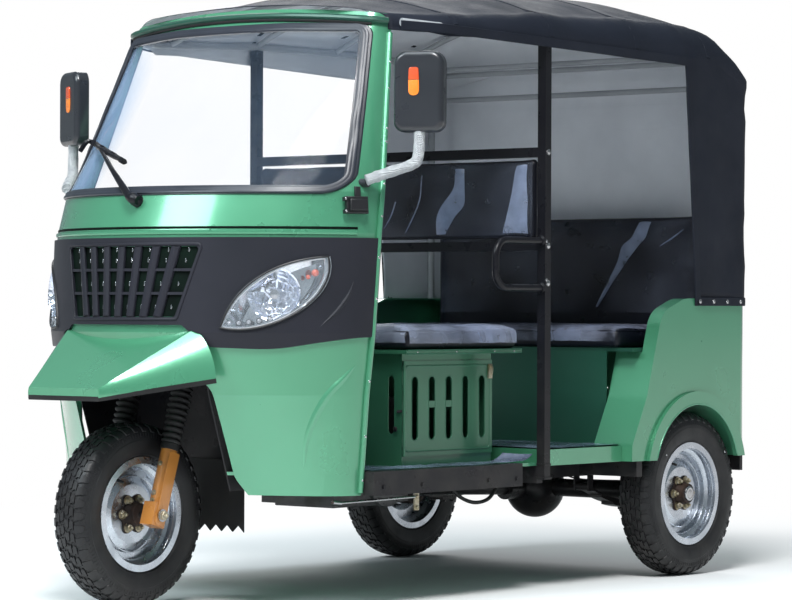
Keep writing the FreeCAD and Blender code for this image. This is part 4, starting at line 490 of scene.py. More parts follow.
def grid_faces(rows, columns, close_rows=False, close_columns=False):
    faces = []
    for i in range(rows if close_rows else rows - 1):
        for j in range(columns if close_columns else columns - 1):
            after_i, after_j = (i + 1) % rows, (j + 1) % columns
            faces.append([i * columns + j, i * columns + after_j, after_i * columns + after_j,
                          after_i * columns + j])
    return faces


def circle(count, radius=1.0):
    """Points evenly round a circle, as (x, y)."""
    return [(radius * math.cos(2 * math.pi * k / count), radius * math.sin(2 * math.pi * k / count))
            for k in range(count)]


def tube(points, radius, sides=10, closed=False):
    """A round tube through points; radius is a number or one per point."""
    points = [Vector(p) for p in points]
    count = len(points)
    radii = radius if isinstance(radius, (list, tuple)) else [radius] * count
    side = None
    rings = []
    for i, point in enumerate(points):
        before = points[i - 1] if i or closed else point
        after = points[(i + 1) % count] if i < count - 1 or closed else point
        along = (after - before).normalized()
        if side is None:
            side = along.orthogonal().normalized()
        side = (side - along * side.dot(along)).normalized()
        up = along.cross(side)
        rings += [point + (side * a + up * b) * radii[i] for a, b in circle(sides)]
    faces = grid_faces(count, sides, closed, True)
    if not closed:
        faces.append(list(reversed(range(sides))))
        faces.append(list(range((count - 1) * sides, count * sides)))
    return rings, faces


def turned(profile, origin, direction, segments=32):
    """A surface turned about an axis from (along, radius) points; radius 0 closes an end."""
    along = Vector(direction).normalized()
    side = along.orthogonal().normalized()
    up = along.cross(side)
    origin = Vector(origin)
    points = []
    for reach, radius in profile:
        points += [origin + along * reach + (side * a + up * b) * max(radius, 1e-5) for a,
                   b in circle(segments)]
    return points, grid_faces(len(profile), segments, False, True)


def rounded(corners, steps=5):
    """Points round a closed outline of (across, up, radius) corners."""
    count = len(corners)
    line = []
    for i, (x, y, radius) in enumerate(corners):
        corner = Vector((x, y))
        before = (Vector(corners[i - 1][:2]) - corner).normalized()
        after = (Vector(corners[(i + 1) % count][:2]) - corner).normalized()
        if radius <= 0:
            line.append(corner)
            continue
        half = before.angle(after) / 2
        reach = radius / math.tan(half)
        centre = corner + (before + after).normalized() * radius / math.sin(half)
        start, end = corner + before * reach - centre, corner + after * reach - centre
        turn = start.angle_signed(end)
        for step in range(steps + 1):
            angle = -turn * step / steps
            line.append(centre + Matrix.Rotation(angle, 2) @ start)
    return line


def rounded_box(low, high, radius, steps):
    """Points round a rectangle with rounded corners."""
    (x0, y0), (x1, y1) = low, high
    return rounded([(x0, y0, radius), (x1, y0, radius), (x1, y1, radius), (x0, y1, radius)], steps)


def spaced(ring, step):
    """Points about a step apart round a closed line."""
    spots = []
    for start, end in zip(ring, ring[1:] + ring[:1]):
        count = max(1, int((end - start).length / step))
        spots += [start.lerp(end, k / count) for k in range(count)]
    return spots


def bead(half, shoulder, foot, cheek, proud):
    """A strip's profile, the same on both sides of its middle: foot, shoulder and crown."""
    return [(foot, -half), (cheek, -shoulder), (proud, 0.0), (cheek, shoulder), (foot, half)]


def slab(outline, thickness, place, bevel=0.0):
    """A flat plate with bevelled edges from 2-D outline points; the placing matrix's Z is its thickness."""
    mesh = bmesh.new()
    low = [mesh.verts.new((p[0], p[1], 0)) for p in outline]
    face = mesh.faces.new(low)
    grown = bmesh.ops.extrude_face_region(mesh, geom=[face])
    top = [v for v in grown["geom"] if isinstance(v, bmesh.types.BMVert)]
    bmesh.ops.translate(mesh, verts=top, vec=(0, 0, thickness))
    bmesh.ops.recalc_face_normals(mesh, faces=mesh.faces[:])
    if bevel:
        rims = [e for e in mesh.edges if abs(e.verts[0].co.z - e.verts[1].co.z) < 1e-7]
        bmesh.ops.bevel(mesh, geom=rims, offset=bevel, segments=3, affect="EDGES", profile=0.6)
    for vert in mesh.verts:
        vert.co = place @ vert.co
    mesh.verts.index_update()
    result = [v.co.copy() for v in mesh.verts], [[v.index for v in f.verts] for f in mesh.faces]
    mesh.free()
    return result


def facing(origin, normal):
    """A placing matrix at a point: Z along the normal, Y near the vertical."""
    z = Vector(normal).normalized()
    x = Vector((0, 0, 1)).cross(z).normalized()
    y = z.cross(x)
    return Matrix.Translation(origin) @ Matrix((x, y, z)).transposed().to_4x4()


def bolt(spot, direction, radius=0.006, height=0.004, sides=6):
    """A hexagon or round head with a chamfer, on a washer."""
    head = turned([(0.0, radius * 0.98), (height * 0.75, radius), (height, radius * 0.82), (height, 0)], spot,
                  direction, sides)
    washer = turned([(-0.0005, radius * 1.3), (0.0012, radius * 1.3), (0.0014, 0)], spot, direction, 16)
    return joined([head, washer])


def dome(spot, direction, radius, height, segments=12):
    profile = [(height * math.sin(a), radius * math.cos(a)) for a in (0, 0.35, 0.7, 1.05, 1.35, math.pi / 2)]
    return turned([(-0.001, radius)] + profile, spot, direction, segments)


def block(low, high, bevel=0.002, place=None):
    """A bevelled block between two corners, turned by an optional matrix."""
    low, high = Vector(low), Vector(high)
    outline = [(low.x, low.y), (high.x, low.y), (high.x, high.y), (low.x, high.y)]
    matrix = (place or Matrix.Identity(4)) @ Matrix.Translation((0, 0, low.z))
    return slab(outline, high.z - low.z, matrix, bevel)


def strip(path, outs, profile, closed=False):
    """Sweep an (outwards, upwards) profile along a path, with an outward direction at each point."""
    path = [Vector(p) for p in path]
    points = []
    for i, (point, out) in enumerate(zip(path, outs)):
        before = path[i - 1] if i or closed else point
        after = path[(i + 1) % len(path)] if i < len(path) - 1 or closed else point
        along = (after - before).normalized()
        out = (out - along * out.dot(along)).normalized()
        up = out.cross(along) * -1
        points += [point + out * a + up * b for a, b in profile]
    faces = grid_faces(len(path), len(profile), closed, True)
    if not closed:
        faces.append(list(reversed(range(len(profile)))))
        faces.append(list(range((len(path) - 1) * len(profile), len(path) * len(profile))))
    return points, faces


def tree_of(*nodes):
    """A search tree over the CAD surfaces of some nodes."""
    points, faces = joined([([v.co for v in NODES[n].data.vertices],
                             [list(p.vertices) for p in NODES[n].data.polygons])
                            for n in nodes])
    return BVHTree.FromPolygons(points, faces)


def mesh_tree(obj):
    """A search tree over an object's own mesh."""
    return BVHTree.FromPolygons([v.co for v in obj.data.vertices],
                                [list(p.vertices) for p in obj.data.polygons])


def cast(tree, origin, direction):
    """Where a ray meets a surface, and the surface's outward direction there."""
    hit, normal = tree.ray_cast(Vector(origin), Vector(direction).normalized())[:2]
    if hit is None:
        raise RuntimeError("no surface from %s along %s" % (tuple(origin), tuple(direction)))
    if normal.dot(Vector(direction)) > 0:
        normal = -normal
    return hit, normal


def front_hit(tree, x, z):
    """Where a front-view point meets a surface, cast from ahead of the nose."""
    return cast(tree, (x, -2.5, z), (0, 1, 0))


def on_front(tree, spots, lift=0.0):
    """Front-view (x, z) points laid on a surface, lifted off it, and the outward directions there."""
    hits = [front_hit(tree, *spot) for spot in spots]
    return [hit + normal * lift for hit, normal in hits], [normal for hit, normal in hits]


def wheel_centre(name):
    low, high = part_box(name + "_tyre")
    return (low + high) / 2


# ---------------------------------------------------------------------------
# Tyres and wheels
# ---------------------------------------------------------------------------

TYRE_SECTION = [
    # across, radius, from the bead over one sidewall to the middle of the tread
    (0.0470, 0.1530), (0.0474, 0.1640), (0.0500, 0.1700), (0.0530, 0.1740), (0.0545, 0.1748),
    (0.0548, 0.1775),
    (0.0568, 0.1840), (0.0584, 0.1950), (0.0594, 0.2060), (0.0600, 0.2150), (0.0600, 0.2172),
    (0.0592, 0.2180),
    (0.0590, 0.2250), (0.0576, 0.2340), (0.0552, 0.2430), (0.0515, 0.2510), (0.0460, 0.2565),
    (0.0380, 0.2595),
    (0.0230, 0.2622), (0.0100, 0.2632), (0.0000, 0.2634),
]
TREAD_PITCHES = 44
SHOULDER_RIBS = 132
TREAD_LUGS = [
    # stations from the middle outwards: across, radius, start and end of the lug as shares of a pitch
    [(0.0020, 0.2676, 0.00, 0.62), (0.0100, 0.2676, 0.16, 0.78), (0.0160, 0.2672, 0.04, 0.66)],
    [(0.0195, 0.2670, 0.30, 0.92), (0.0270, 0.2660, 0.14, 0.78), (0.0330, 0.2648, 0.26, 0.86)],
    [(0.0365, 0.2642, 0.60, 1.24), (0.0465, 0.2606, 0.56, 1.16), (0.0540, 0.2530, 0.58, 1.12),
     (0.0578, 0.2440, 0.66, 1.02)],
]


def tread_lug(stations, start, pitch, side):
    """A raised block on the tread: its top follows the stations, its walls lean outwards a little."""
    points = []
    depth = 0.0062
    for across, radius, low, high in stations:
        for drop, lean in ((0.0, 0.0), (depth, 0.05)):
            inward = drop * (0.55 if across > 0.05 else 0.15)
            for share in (low - lean, high + lean):
                angle = start + pitch * share
                reach = radius - drop
                points.append((side * (across - inward), reach * math.cos(angle), reach * math.sin(angle)))
    faces = []
    last = len(stations) - 1
    for i in range(last):
        a, b = 4 * i, 4 * (i + 1)
        faces += [[a, a + 1, b + 1, b], [a + 2, a, b, b + 2], [a + 1, a + 3, b + 3, b + 1]]
    faces += [[0, 2, 3, 1], [4 * last, 4 * last + 1, 4 * last + 3, 4 * last + 2]]
    return points, faces if side > 0 else [list(reversed(face)) for face in faces]


def make_tyre(name):
    section = TYRE_SECTION + [(-x, r) for x, r in reversed(TYRE_SECTION[:-1])]
    carcass = turned(section, (0, 0, 0), (1, 0, 0), 96)
    pitch = 2 * math.pi / TREAD_PITCHES
    lugs = []
    for k in range(TREAD_PITCHES):
        for stations in TREAD_LUGS:
            for side, start in ((1, k * pitch), (-1, (k + 0.5) * pitch)):
                lugs.append(tread_lug(stations, start, pitch, side))
    ribs = []
    for a, b in circle(SHOULDER_RIBS):
        for side in (1, -1):
            line = [(side * x + side * 0.0006, r * a, r * b) for x, r in ((0.0586, 0.2262), (0.0567, 0.2372))]
            ribs.append(tube(line, 0.0011, 4))
    centre = wheel_centre(name)
    tyre = piece(name + "_tread_tyre", [carcass] + lugs + ribs, "tyre", None)
    tyre.data.transform(Matrix.Translation(centre))
    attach(tyre, name + "_wheel")
    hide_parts(name + "_tyre")


def hex_nut(spot, direction, radius=0.0112, height=0.0125):
    return turned([(-0.001, radius), (height - 0.002, radius), (height, radius * 0.84), (height, 0.006),
                   (height + 0.007, 0.0055), (height + 0.0085, 0.004), (height + 0.0085, 0)], spot, direction,
                   6)


def make_wheel_details(name, heading):
    """Hub plate, nuts, cap, valve and rim beads of a wheel; heading is the dished side's way along X."""
    centre = wheel_centre(name)
    face = centre + Vector((heading * 0.0125, 0, 0))
    out = Vector((heading, 0, 0))
    rim = []
    for step in range(72):
        angle = 2 * math.pi * step / 72
        radius = 0.056 + 0.0075 * math.cos(6 * angle)
        rim.append((radius * math.cos(angle), radius * math.sin(angle)))
    place = facing(face, out)
    boss = turned([(0.004, 0.040), (0.012, 0.038), (0.020, 0.0335), (0.026, 0.0322), (0.0335, 0.0318),
                   (0.0345, 0.029)],
                  face, out, 40)
    piece(name + "_hub_plate", [slab(rim, 0.0045, place, 0.0012), boss], "hub", name + "_wheel")
    nuts = []
    for x, y in circle(6, 0.046):
        spot = place @ Vector((x, y, 0.0043))
        nuts += [hex_nut(spot, out), turned([(0, 0.0142), (0.0018, 0.0142), (0.0022, 0)], spot, out, 20)]
    piece(name + "_wheel_nuts", nuts, "zinc", name + "_wheel")
    if name != "front":
        cap = turned([(0.030, 0.0245), (0.036, 0.0245), (0.0385, 0.0235), (0.0395, 0.020), (0.0400, 0.0185),
                      (0.0396, 0.017),
                      (0.0402, 0.012), (0.0404, 0)], face, out, 40)
        piece(name + "_hub_cap", [cap], "steel", name + "_wheel")
    spot = centre + Vector((heading * 0.020, 0.128 * math.cos(2.2), 0.128 * math.sin(2.2)))
    radial = Vector((heading * 0.9, -0.35 * math.cos(2.2), -0.35 * math.sin(2.2))).normalized()
    valve = turned([(-0.02, 0.006), (0.006, 0.0055), (0.010, 0.004), (0.026, 0.0036), (0.028, 0.0030),
                    (0.028, 0)],
                   spot, radial, 12)
    piece(name + "_valve", [valve], "rubber", name + "_wheel")
    beads = []
    for reach, radius in ((0.0400, 0.1490), (0.0180, 0.1335), (0.0120, 0.1120)):
        ring = [centre + Vector((heading * reach, a, b)) for a, b in circle(72, radius)]
        beads.append(tube(ring, 0.0022, 6, True))
    piece(name + "_rim_beads", beads, "rim", name + "_wheel")


def make_wheels():
    for name, heading in (("front", 1), ("rear_left", 1), ("rear_right", -1)):
        make_tyre(name)
        make_wheel_details(name, heading)


# ---------------------------------------------------------------------------
# Canopy: one curved sheet with its own lining, replaced from the CAD sections
# ---------------------------------------------------------------------------

CANOPY_SECTIONS = [
    # along Y, half width, shoulder height, rise of the crown, shoulder radius
    (-0.545, 0.516, 1.757, 0.032, 0.034),
    (-0.300, 0.604, 1.762, 0.076, 0.070),
    (0.209, 0.632, 1.800, 0.104, 0.090),
    (0.893, 0.663, 1.822, 0.104, 0.115),
    (1.106, 0.663, 1.800, 0.092, 0.125),
    (1.216, 0.663, 1.742, 0.074, 0.115),
    (1.301, 0.663, 1.665, 0.050, 0.100),
]
CANOPY_HEM = 0.884
HEM_LINE = CANOPY_HEM + 0.014
VALANCE = (1.700, 1.667)
OPENING_Y = (0.894, 0.958)
CANOPY_REAR = 1.2863
REAR_CORNER = 0.0563
CORNER_START = CANOPY_REAR - REAR_CORNER
PLAN_HALF = 0.6623
LAST_SECTION = 1.3009
BOWS = (-0.545, -0.234, 0.209, 0.636, 1.026)
BROW_HALF, CORNER_HALF, CORNER_RAKE = 0.360, 0.530, 0.100


def canopy_numbers(y):
    for front, rear in zip(CANOPY_SECTIONS, CANOPY_SECTIONS[1:]):
        if front[0] <= y <= rear[0]:
            share = (y - front[0]) / (rear[0] - front[0])
            return [a + (b - a) * share for a, b in zip(front[1:], rear[1:])]
    return CANOPY_SECTIONS[-1][1:]


def valance_height(y):
    share = min(max((y - BOWS[0]) / (OPENING_Y[0] - BOWS[0]), 0), 1)
    return VALANCE[0] + (VALANCE[1] - VALANCE[0]) * share


def opening_edge(z):
    """Where the opening's rear edge is at a height, on a straight line from the valance down to the hem."""
    share = (VALANCE[1] - z) / (VALANCE[1] - CANOPY_HEM)
    return OPENING_Y[0] + (OPENING_Y[1] - OPENING_Y[0]) * share


WALL_STEPS, VALANCE_STEPS, ARC_STEPS, CROWN_STEPS = 16, 4, 8, 20


def canopy_column(y, wall):
    """Left half of a section from the hem up to the crown: (x, z) points, with None for the wall's points
    where there is no wall.
    """
    half, shoulder, crown, corner = canopy_numbers(y)
    low = min(valance_height(y), shoulder - corner - 0.006)
    points = [(half, CANOPY_HEM + (low - CANOPY_HEM) * i / WALL_STEPS) if wall else None
              for i in range(WALL_STEPS)]
    points += [(half, low + (shoulder - corner - low) * i / VALANCE_STEPS) for i in range(VALANCE_STEPS)]
    for i in range(ARC_STEPS):
        angle = math.pi / 2 * i / ARC_STEPS
        points.append((half - corner + corner * math.cos(angle),
                       shoulder - corner + corner * math.sin(angle)))
    inner = half - corner
    radius = (inner ** 2 + crown ** 2) / (2 * crown)
    for i in range(CROWN_STEPS + 1):
        x = inner * (1 - i / CROWN_STEPS)
        points.append((x, shoulder + crown - radius + math.sqrt(radius ** 2 - x ** 2)))
    return points


def canopy_front(x):
    """How far behind the front edge the cloth starts at a distance across."""
    return CORNER_RAKE * min(max((abs(x) - BROW_HALF) / (CORNER_HALF - BROW_HALF), 0), 1)


def canopy_rows():
    """Y stations: even along the roof, a little closer along the side wall, and fine round the rear corner."""
    rows = []
    for a, b, steps in ((BOWS[0], OPENING_Y[0], 64), (OPENING_Y[0], CORNER_START, 20)):
        rows += [a + (b - a) * i / steps for i in range(steps)]
    rows += [CANOPY_REAR - REAR_CORNER * (1 - math.sin(math.pi / 2 * i / 8)) for i in range(9)]
    return rows


def plan_limit(y):
    """Half width of the plan outline, which rounds the rear corners."""
    if y <= CORNER_START:
        return PLAN_HALF
    depth = min(y - CORNER_START, REAR_CORNER)
    return PLAN_HALF - REAR_CORNER + math.sqrt(max(REAR_CORNER ** 2 - depth ** 2, 0))


DEEPEST_SAG = -0.0050


def cloth_relief(point):
    """How far the cloth stands out of its plain form: sag between bows, pulls and small wrinkles."""
    x, y, z = point
    relief = 0.0
    if z > 1.70:
        for front, rear in zip(BOWS, BOWS[1:]):
            if front < y < rear:
                relief -= 0.010 * math.sin(math.pi * (y - front) / (rear - front)) ** 2
    fold = noise.noise(Vector((x * 2.2, y * 2.6, z * 2.0)))
    relief += 0.004 * fold
    low = max(0.0, min(1.0, (1.30 - z) / 0.4))
    if y > 0.85:
        ridged = 1 - abs(noise.noise(Vector((x * 3.0 + z * 4.0, y * 5.0 - z * 6.0, z * 3.0)))) * 2
        relief += 0.0065 * low * ridged ** 3 - 0.002 * low
        corner = math.exp(-((z - 1.66) / 0.16) ** 2) * math.exp(-((y - 1.22) / 0.22) ** 2)
        relief += 0.006 * corner * math.sin(34 * (y + z * 1.3))
    front_corner = math.exp(-((y + 0.50) / 0.10) ** 2) * math.exp(-((abs(x) - 0.52) / 0.14) ** 2)
    relief += 0.005 * front_corner * math.sin(60 * (z + abs(x) * 0.6))
    relief += 0.0012 * noise.noise(Vector((x * 11, y * 11, z * 11)))
    return max(relief, DEEPEST_SAG)


def make_canopy():
    rows = canopy_rows()
    full = WALL_STEPS + VALANCE_STEPS + ARC_STEPS + CROWN_STEPS + 1
    columns = 2 * full - 1
    points, index = [], {}
    for i, y in enumerate(rows):
        wall = y >= OPENING_Y[0] - 1e-6
        column = canopy_column(min(y, LAST_SECTION), wall)
        section = column + [None if p is None else (-p[0], p[1]) for p in reversed(column[:-1])]
        for j, spot in enumerate(section):
            if spot is None:
                continue
            x, z = spot
            x = math.copysign(min(abs(x), plan_limit(y)), x)
            shifted = y
            if y < BOWS[1]:
                shifted = y + canopy_front(x) * (BOWS[1] - y) / (BOWS[1] - BOWS[0])
            if wall and z < VALANCE[1] and y < CORNER_START:
                edge = opening_edge(z)
                shifted = edge + (y - OPENING_Y[0]) * (CORNER_START - edge) / (CORNER_START - OPENING_Y[0])
            index[i, j] = len(points)
            points.append(Vector((x, shifted, z)))
    faces = []
    for i in range(len(rows) - 1):
        for j in range(columns - 1):
            corners = [index.get(key) for key in ((i, j), (i, j + 1), (i + 1, j + 1), (i + 1, j))]
            if None not in corners:
                faces.append(corners)
    last = len(rows) - 1
    across = 36
    previous = None
    for j in range(full - 1):
        left, right = index[last, j], index[last, columns - 1 - j]
        line = [left]
        for k in range(1, across):
            share = k / across
            line.append(len(points))
            points.append(points[left].lerp(points[right], share))
        line.append(right)
        if previous:
            for k in range(across):
                faces.append([previous[k + 1], previous[k], line[k], line[k + 1]])
        previous = line
    top = index[last, full - 1]
    for k in range(across):
        faces.append([previous[k + 1], previous[k], top])
    canopy = piece("canopy_sheet", [(points, faces)], ["canopy", "lining"], None)
    mesh = canopy.data
    mesh.update()
    normals = [v.normal.copy() for v in mesh.vertices]
    middle = Vector((0, 0.4, 1.3))
    for vert, normal in zip(mesh.vertices, normals):
        if normal.dot(vert.co - middle) < 0:
            normal = -normal
        vert.co += normal * (cloth_relief(vert.co) - 0.001)
    solid = canopy.modifiers.new("thickness", "SOLIDIFY")
    solid.thickness = 0.0018
    solid.offset = -1
    solid.material_offset = 1
    solid.material_offset_rim = 0
    bpy.context.view_layer.objects.active = canopy
    flip = bmesh.new()
    flip.from_mesh(mesh)
    bmesh.ops.recalc_face_normals(flip, faces=flip.faces[:])
    flip.faces.ensure_lookup_table()
    outward = sum(f.normal.dot(f.calc_center_median() - middle) for f in flip.faces)
    if outward < 0:
        bmesh.ops.reverse_faces(flip, faces=flip.faces[:])
    flip.to_mesh(mesh)
    flip.free()
    bpy.ops.object.modifier_apply(modifier="thickness")
    for polygon in canopy.data.polygons:
        polygon.use_smooth = True
    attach(canopy, "chassis")
    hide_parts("canopy")
    return canopy


def canopy_side(y, z, out=0.0):
    """A point on the canopy's left side at a height."""
    return Vector((min(canopy_numbers(min(y, LAST_SECTION))[0], plan_limit(y)) + out, y, z))


def make_canopy_trim(canopy):
    """Hems, seams and studs, and the sheet's own line for the frame."""
    hem_profile = bead(0.014, 0.013, 0.0, 0.0024, 0.0030)
    steps = 60
    start = BOWS[0] + CORNER_RAKE + 0.004
    valance = [canopy_side(start + (OPENING_Y[0] - start) * i / steps, 0) for i in range(steps + 1)]
    for point in valance:
        point.z = valance_height(point.y) + 0.014
    edge = [canopy_side(opening_edge(z) + 0.014, z) for z in [1.655 - 0.755 * i / 24 for i in range(25)]]
    out = Vector((1, 0, 0))
    hems = [strip(line, [out] * len(line), hem_profile) for line in (valance, edge)]
    ring = [canopy_side(0.975 + (CORNER_START - 0.975) * i / 12, HEM_LINE) for i in range(13)]
    outs = [out] * 13
    for i in range(1, 9):
        angle = math.pi / 2 * i / 8
        centre = Vector((PLAN_HALF - REAR_CORNER, CORNER_START, HEM_LINE))
        direction = Vector((math.cos(angle), math.sin(angle), 0))
        ring.append(centre + direction * REAR_CORNER)
        outs.append(direction)
    ring += [Vector((-p.x, p.y, p.z)) for p in reversed(ring)]
    outs += [Vector((-o.x, o.y, o.z)) for o in reversed(outs)]
    hems = both(hems) + [strip(ring, outs, hem_profile)]
    hem = piece("canopy_hems", hems, "canopy")
    tree = mesh_tree(canopy)
    seams = []
    for y in BOWS[1:]:
        path, outs = [], []
        low = math.atan2(valance_height(y) + 0.035 - 1.45, canopy_numbers(y)[0])
        for i in range(49):
            angle = low + (math.pi - 2 * low) * i / 48
            start = (2.2 * math.cos(angle), y, 1.45 + 2.2 * math.sin(angle))
            hit, normal = cast(tree, start, (-math.cos(angle), 0, -math.sin(angle)))
            path.append(hit)
            outs.append(normal)
        seams.append(strip(path, outs, bead(0.010, 0.009, 0.0, 0.0016, 0.0022)))
    path, outs = [], []
    for i in range(61):
        x = -0.60 + 1.20 * i / 60
        hit, normal = cast(tree, (x, 2.5, 1.9 - 0.1 * abs(x)), (0, -1, -0.42))
        path.append(hit)
        outs.append(normal)
    seams.append(strip(path, outs, bead(0.009, 0.008, 0.0, 0.0020, 0.0028)))
    seam = piece("canopy_seams", seams, "canopy")
    studs = []
    for i in range(4):
        spot = canopy_side(0.980 + 0.080 * i, HEM_LINE, 0.002)
        studs.append(dome(spot, (1, 0, 0), 0.0058, 0.0035))
        studs.append(turned([(0, 0.0075), (0.001, 0.0075), (0.0012, 0)], spot, (1, 0, 0), 16))
    studs = both(studs)
    for i in range(13):
        studs.append(dome((-0.54 + 0.09 * i, CANOPY_REAR + 0.0005, HEM_LINE), (0, 1, 0), 0.0058, 0.0035))
    stud = piece("canopy_studs", studs, "steel")


# ---------------------------------------------------------------------------
# Seats
# ---------------------------------------------------------------------------


COVER = dict(quality=3, mass=0.4, tension_stiffness=14, compression_stiffness=14, shear_stiffness=6,
             bending_stiffness=0.8, use_pressure=True, uniform_pressure_force=4.0)
SWELL_FRAMES = 20


def inflate(obj, cap):
    """Swell a closed mesh by cloth simulation, no point moving further than the cap."""
    cloth = obj.modifiers.new("swell", "CLOTH")
    for name, value in COVER.items():
        setattr(cloth.settings, name, value)
    cloth.settings.effector_weights.gravity = 0
    cloth.point_cache.frame_start = 1
    cloth.point_cache.frame_end = SWELL_FRAMES
    for number in range(1, SWELL_FRAMES + 1):
        SCENE.frame_set(number)
    shaped = obj.evaluated_get(bpy.context.evaluated_depsgraph_get()).to_mesh()
    moved = [v.co.copy() for v in shaped.vertices]
    SCENE.frame_set(1)
    obj.modifiers.remove(cloth)
    for vert, new in zip(obj.data.vertices, moved):
        step = new - vert.co
        if step.length > cap:
            step *= cap / step.length
        vert.co += step


CUSHIONS = [
    # name, the node it replaces, low corner, high corner, edge radius, furthest swell, fill
    ("driver_cushion", "seat_cushions", (-0.494, -0.332, 0.7475), (0.494, 0.238, 0.806), 0.024, 0.012, 0.7),
    ("rear_cushion", "seat_cushions", (-0.566, 0.653, 0.7475), (0.566, 1.118, 0.806), 0.024, 0.012, 0.7),
    ("rear_backrest", "backrests", (-0.566, 1.132, 0.7475), (0.566, 1.183, 1.194), 0.022, 0.012, 0.65),
    ("driver_backrest", "backrests", (-0.577, 0.195, 1.085), (0.577, 0.223, 1.342), 0.012, 0.007, 0.6),
]


def soft_block(name, low, high, radius):
    """A closed block with rounded edges in even small quads."""
    low, high = Vector(low), Vector(high)
    mesh = bmesh.new()
    bmesh.ops.create_cube(mesh, size=1)
    for vert in mesh.verts:
        vert.co = Vector((low[i] + (high[i] - low[i]) * (vert.co[i] + 0.5) for i in range(3)))
    bmesh.ops.bevel(mesh, geom=mesh.edges[:], offset=radius, segments=4, affect="EDGES", profile=0.6)
    data = bpy.data.meshes.new(name)
    mesh.to_mesh(data)
    mesh.free()
    obj = bpy.data.objects.new(name, data)
    SCENE.collection.objects.link(obj)
    bpy.context.view_layer.objects.active = obj
    remesh = obj.modifiers.new("even", "REMESH")
    remesh.mode = "VOXEL"
    remesh.voxel_size = 0.009
    bpy.ops.object.modifier_apply(modifier="even")
    return obj


def make_cushions():
    made = {}
    for name, node, low, high, radius, cap, fill in CUSHIONS:
        obj = soft_block(name, low, high, radius)
        inflate(obj, cap)
        normals = [vert.normal.copy() for vert in obj.data.vertices]
        for vert, normal in zip(obj.data.vertices, normals):
            crease = noise.noise(vert.co * 9) + 0.5 * noise.noise(vert.co * 21)
            vert.co += normal * 0.0011 * crease
            vert.co.z = max(vert.co.z, low[2])
        bpy.context.view_layer.objects.active = obj
        smooth = obj.modifiers.new("finer", "SUBSURF")
        smooth.levels = 1
        bpy.ops.object.modifier_apply(modifier="finer")
        for polygon in obj.data.polygons:
            polygon.use_smooth = True
        obj.data.materials.append(FINISH["vinyl"])
        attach(obj, "chassis")
        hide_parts(node)
        made[name] = obj
    return made


WELTS = [
    # cushion, the axis its welt's loop faces, level on that axis, low and high corner of the loop
    ("driver_cushion", "z", 0.806, (-0.487, -0.325), (0.487, 0.231)),
    ("rear_cushion", "z", 0.806, (-0.559, 0.660), (0.559, 1.111)),
    ("rear_backrest", "y", 1.134, (-0.559, 0.760), (0.559, 1.187)),
    ("driver_backrest", "y", 0.197, (-0.572, 1.090), (0.572, 1.337)),
]


def make_piping(cushions):
    """Sewn welts round each cushion's upper or front edge."""
    parts = []
    for name, axis, level, low, high in WELTS:
        tree = mesh_tree(cushions[name])
        line = []
        for spot in spaced(rounded_box(low, high, 0.03, 4), 0.02):
            point = (spot.x, spot.y, level + 0.004) if axis == "z" else (spot.x, level - 0.004, spot.y)
            hit, normal = tree.find_nearest(Vector(point))[:2]
            line.append(hit + normal * 0.0005)
        parts.append(tube(line, 0.0028, 6, True))
    piece("seat_piping", parts, "vinyl")


# ---------------------------------------------------------------------------
# Clear film and floor mats
# ---------------------------------------------------------------------------


def film_sheet(name, corners, steps, height_of):
    """A thin mat over a rectangle in plan: height_of(x, y) gives its surface."""
    (x0, y0), (x1, y1) = corners
    columns, rows = steps
    points = []
    for i in range(rows + 1):
        for j in range(columns + 1):
            x = x0 + (x1 - x0) * j / columns
            y = y0 + (y1 - y0) * i / rows
            points.append((x, y, height_of(x, y)))
    # the mats' pale patches are painted reflections
    obj = piece(name, [(points, [list(reversed(f)) for f in grid_faces(rows + 1, columns + 1)])], "mat")
    return obj


def crumple(x, y, size=7.0):
    return abs(noise.noise(Vector((x * size, y * size * 0.6,
                                   0.3)))) ** 0.7 + 0.4 * abs(noise.noise(Vector((x * 23, y * 17, 1.1))))


def wrap_sheet(name, cushion, path, across, out, ruffle, finish="film_bright"):
    """A film laid on a cushion and ruffled: a profile swept across it in steps along an axis."""
    start, end, steps, axis = across
    tree = mesh_tree(cushion)
    points = []
    for station in path:
        for step in range(steps + 1):
            spot = Vector(station)
            spot[axis] = start + (end - start) * step / steps
            near, normal = tree.find_nearest(spot)[:2]
            ridge = 1 - abs(noise.noise(Vector((near.x * 9, near.y * 9, near.z * 13)))) * 2
            points.append(near + normal * (out + ruffle * max(ridge, 0) ** 2))
    obj = piece(name, [(points, grid_faces(len(path), steps + 1))], finish)


DRIVER_GLINT_FOLDS = [
    # height, then the two edges across the vehicle of a fold in the film, whose pale colour is a painted glint
    [(1.320, 0.262, 0.300), (1.255, 0.258, 0.303), (1.200, 0.212, 0.300), (1.160, 0.190, 0.262),
     (1.100, 0.186, 0.222)],
    [(1.328, 0.508, 0.552), (1.240, 0.492, 0.556), (1.160, 0.470, 0.558), (1.100, 0.452, 0.558)],
    [(1.300, 0.128, 0.131), (1.220, 0.118, 0.124), (1.150, 0.082, 0.088), (1.110, 0.060, 0.063)],
    [(1.215, 0.020, 0.024), (1.170, 0.000, 0.006), (1.125, -0.030, -0.026)],
]
REAR_GLINT_FOLDS = [
    [(1.185, 0.318, 0.366), (1.120, 0.294, 0.352), (1.085, 0.252, 0.318), (1.030, 0.232, 0.268),
     (0.960, 0.190, 0.212),
     (0.880, 0.142, 0.152)],
    [(1.140, 0.500, 0.506), (1.110, 0.450, 0.462), (1.085, 0.405, 0.412)],
]


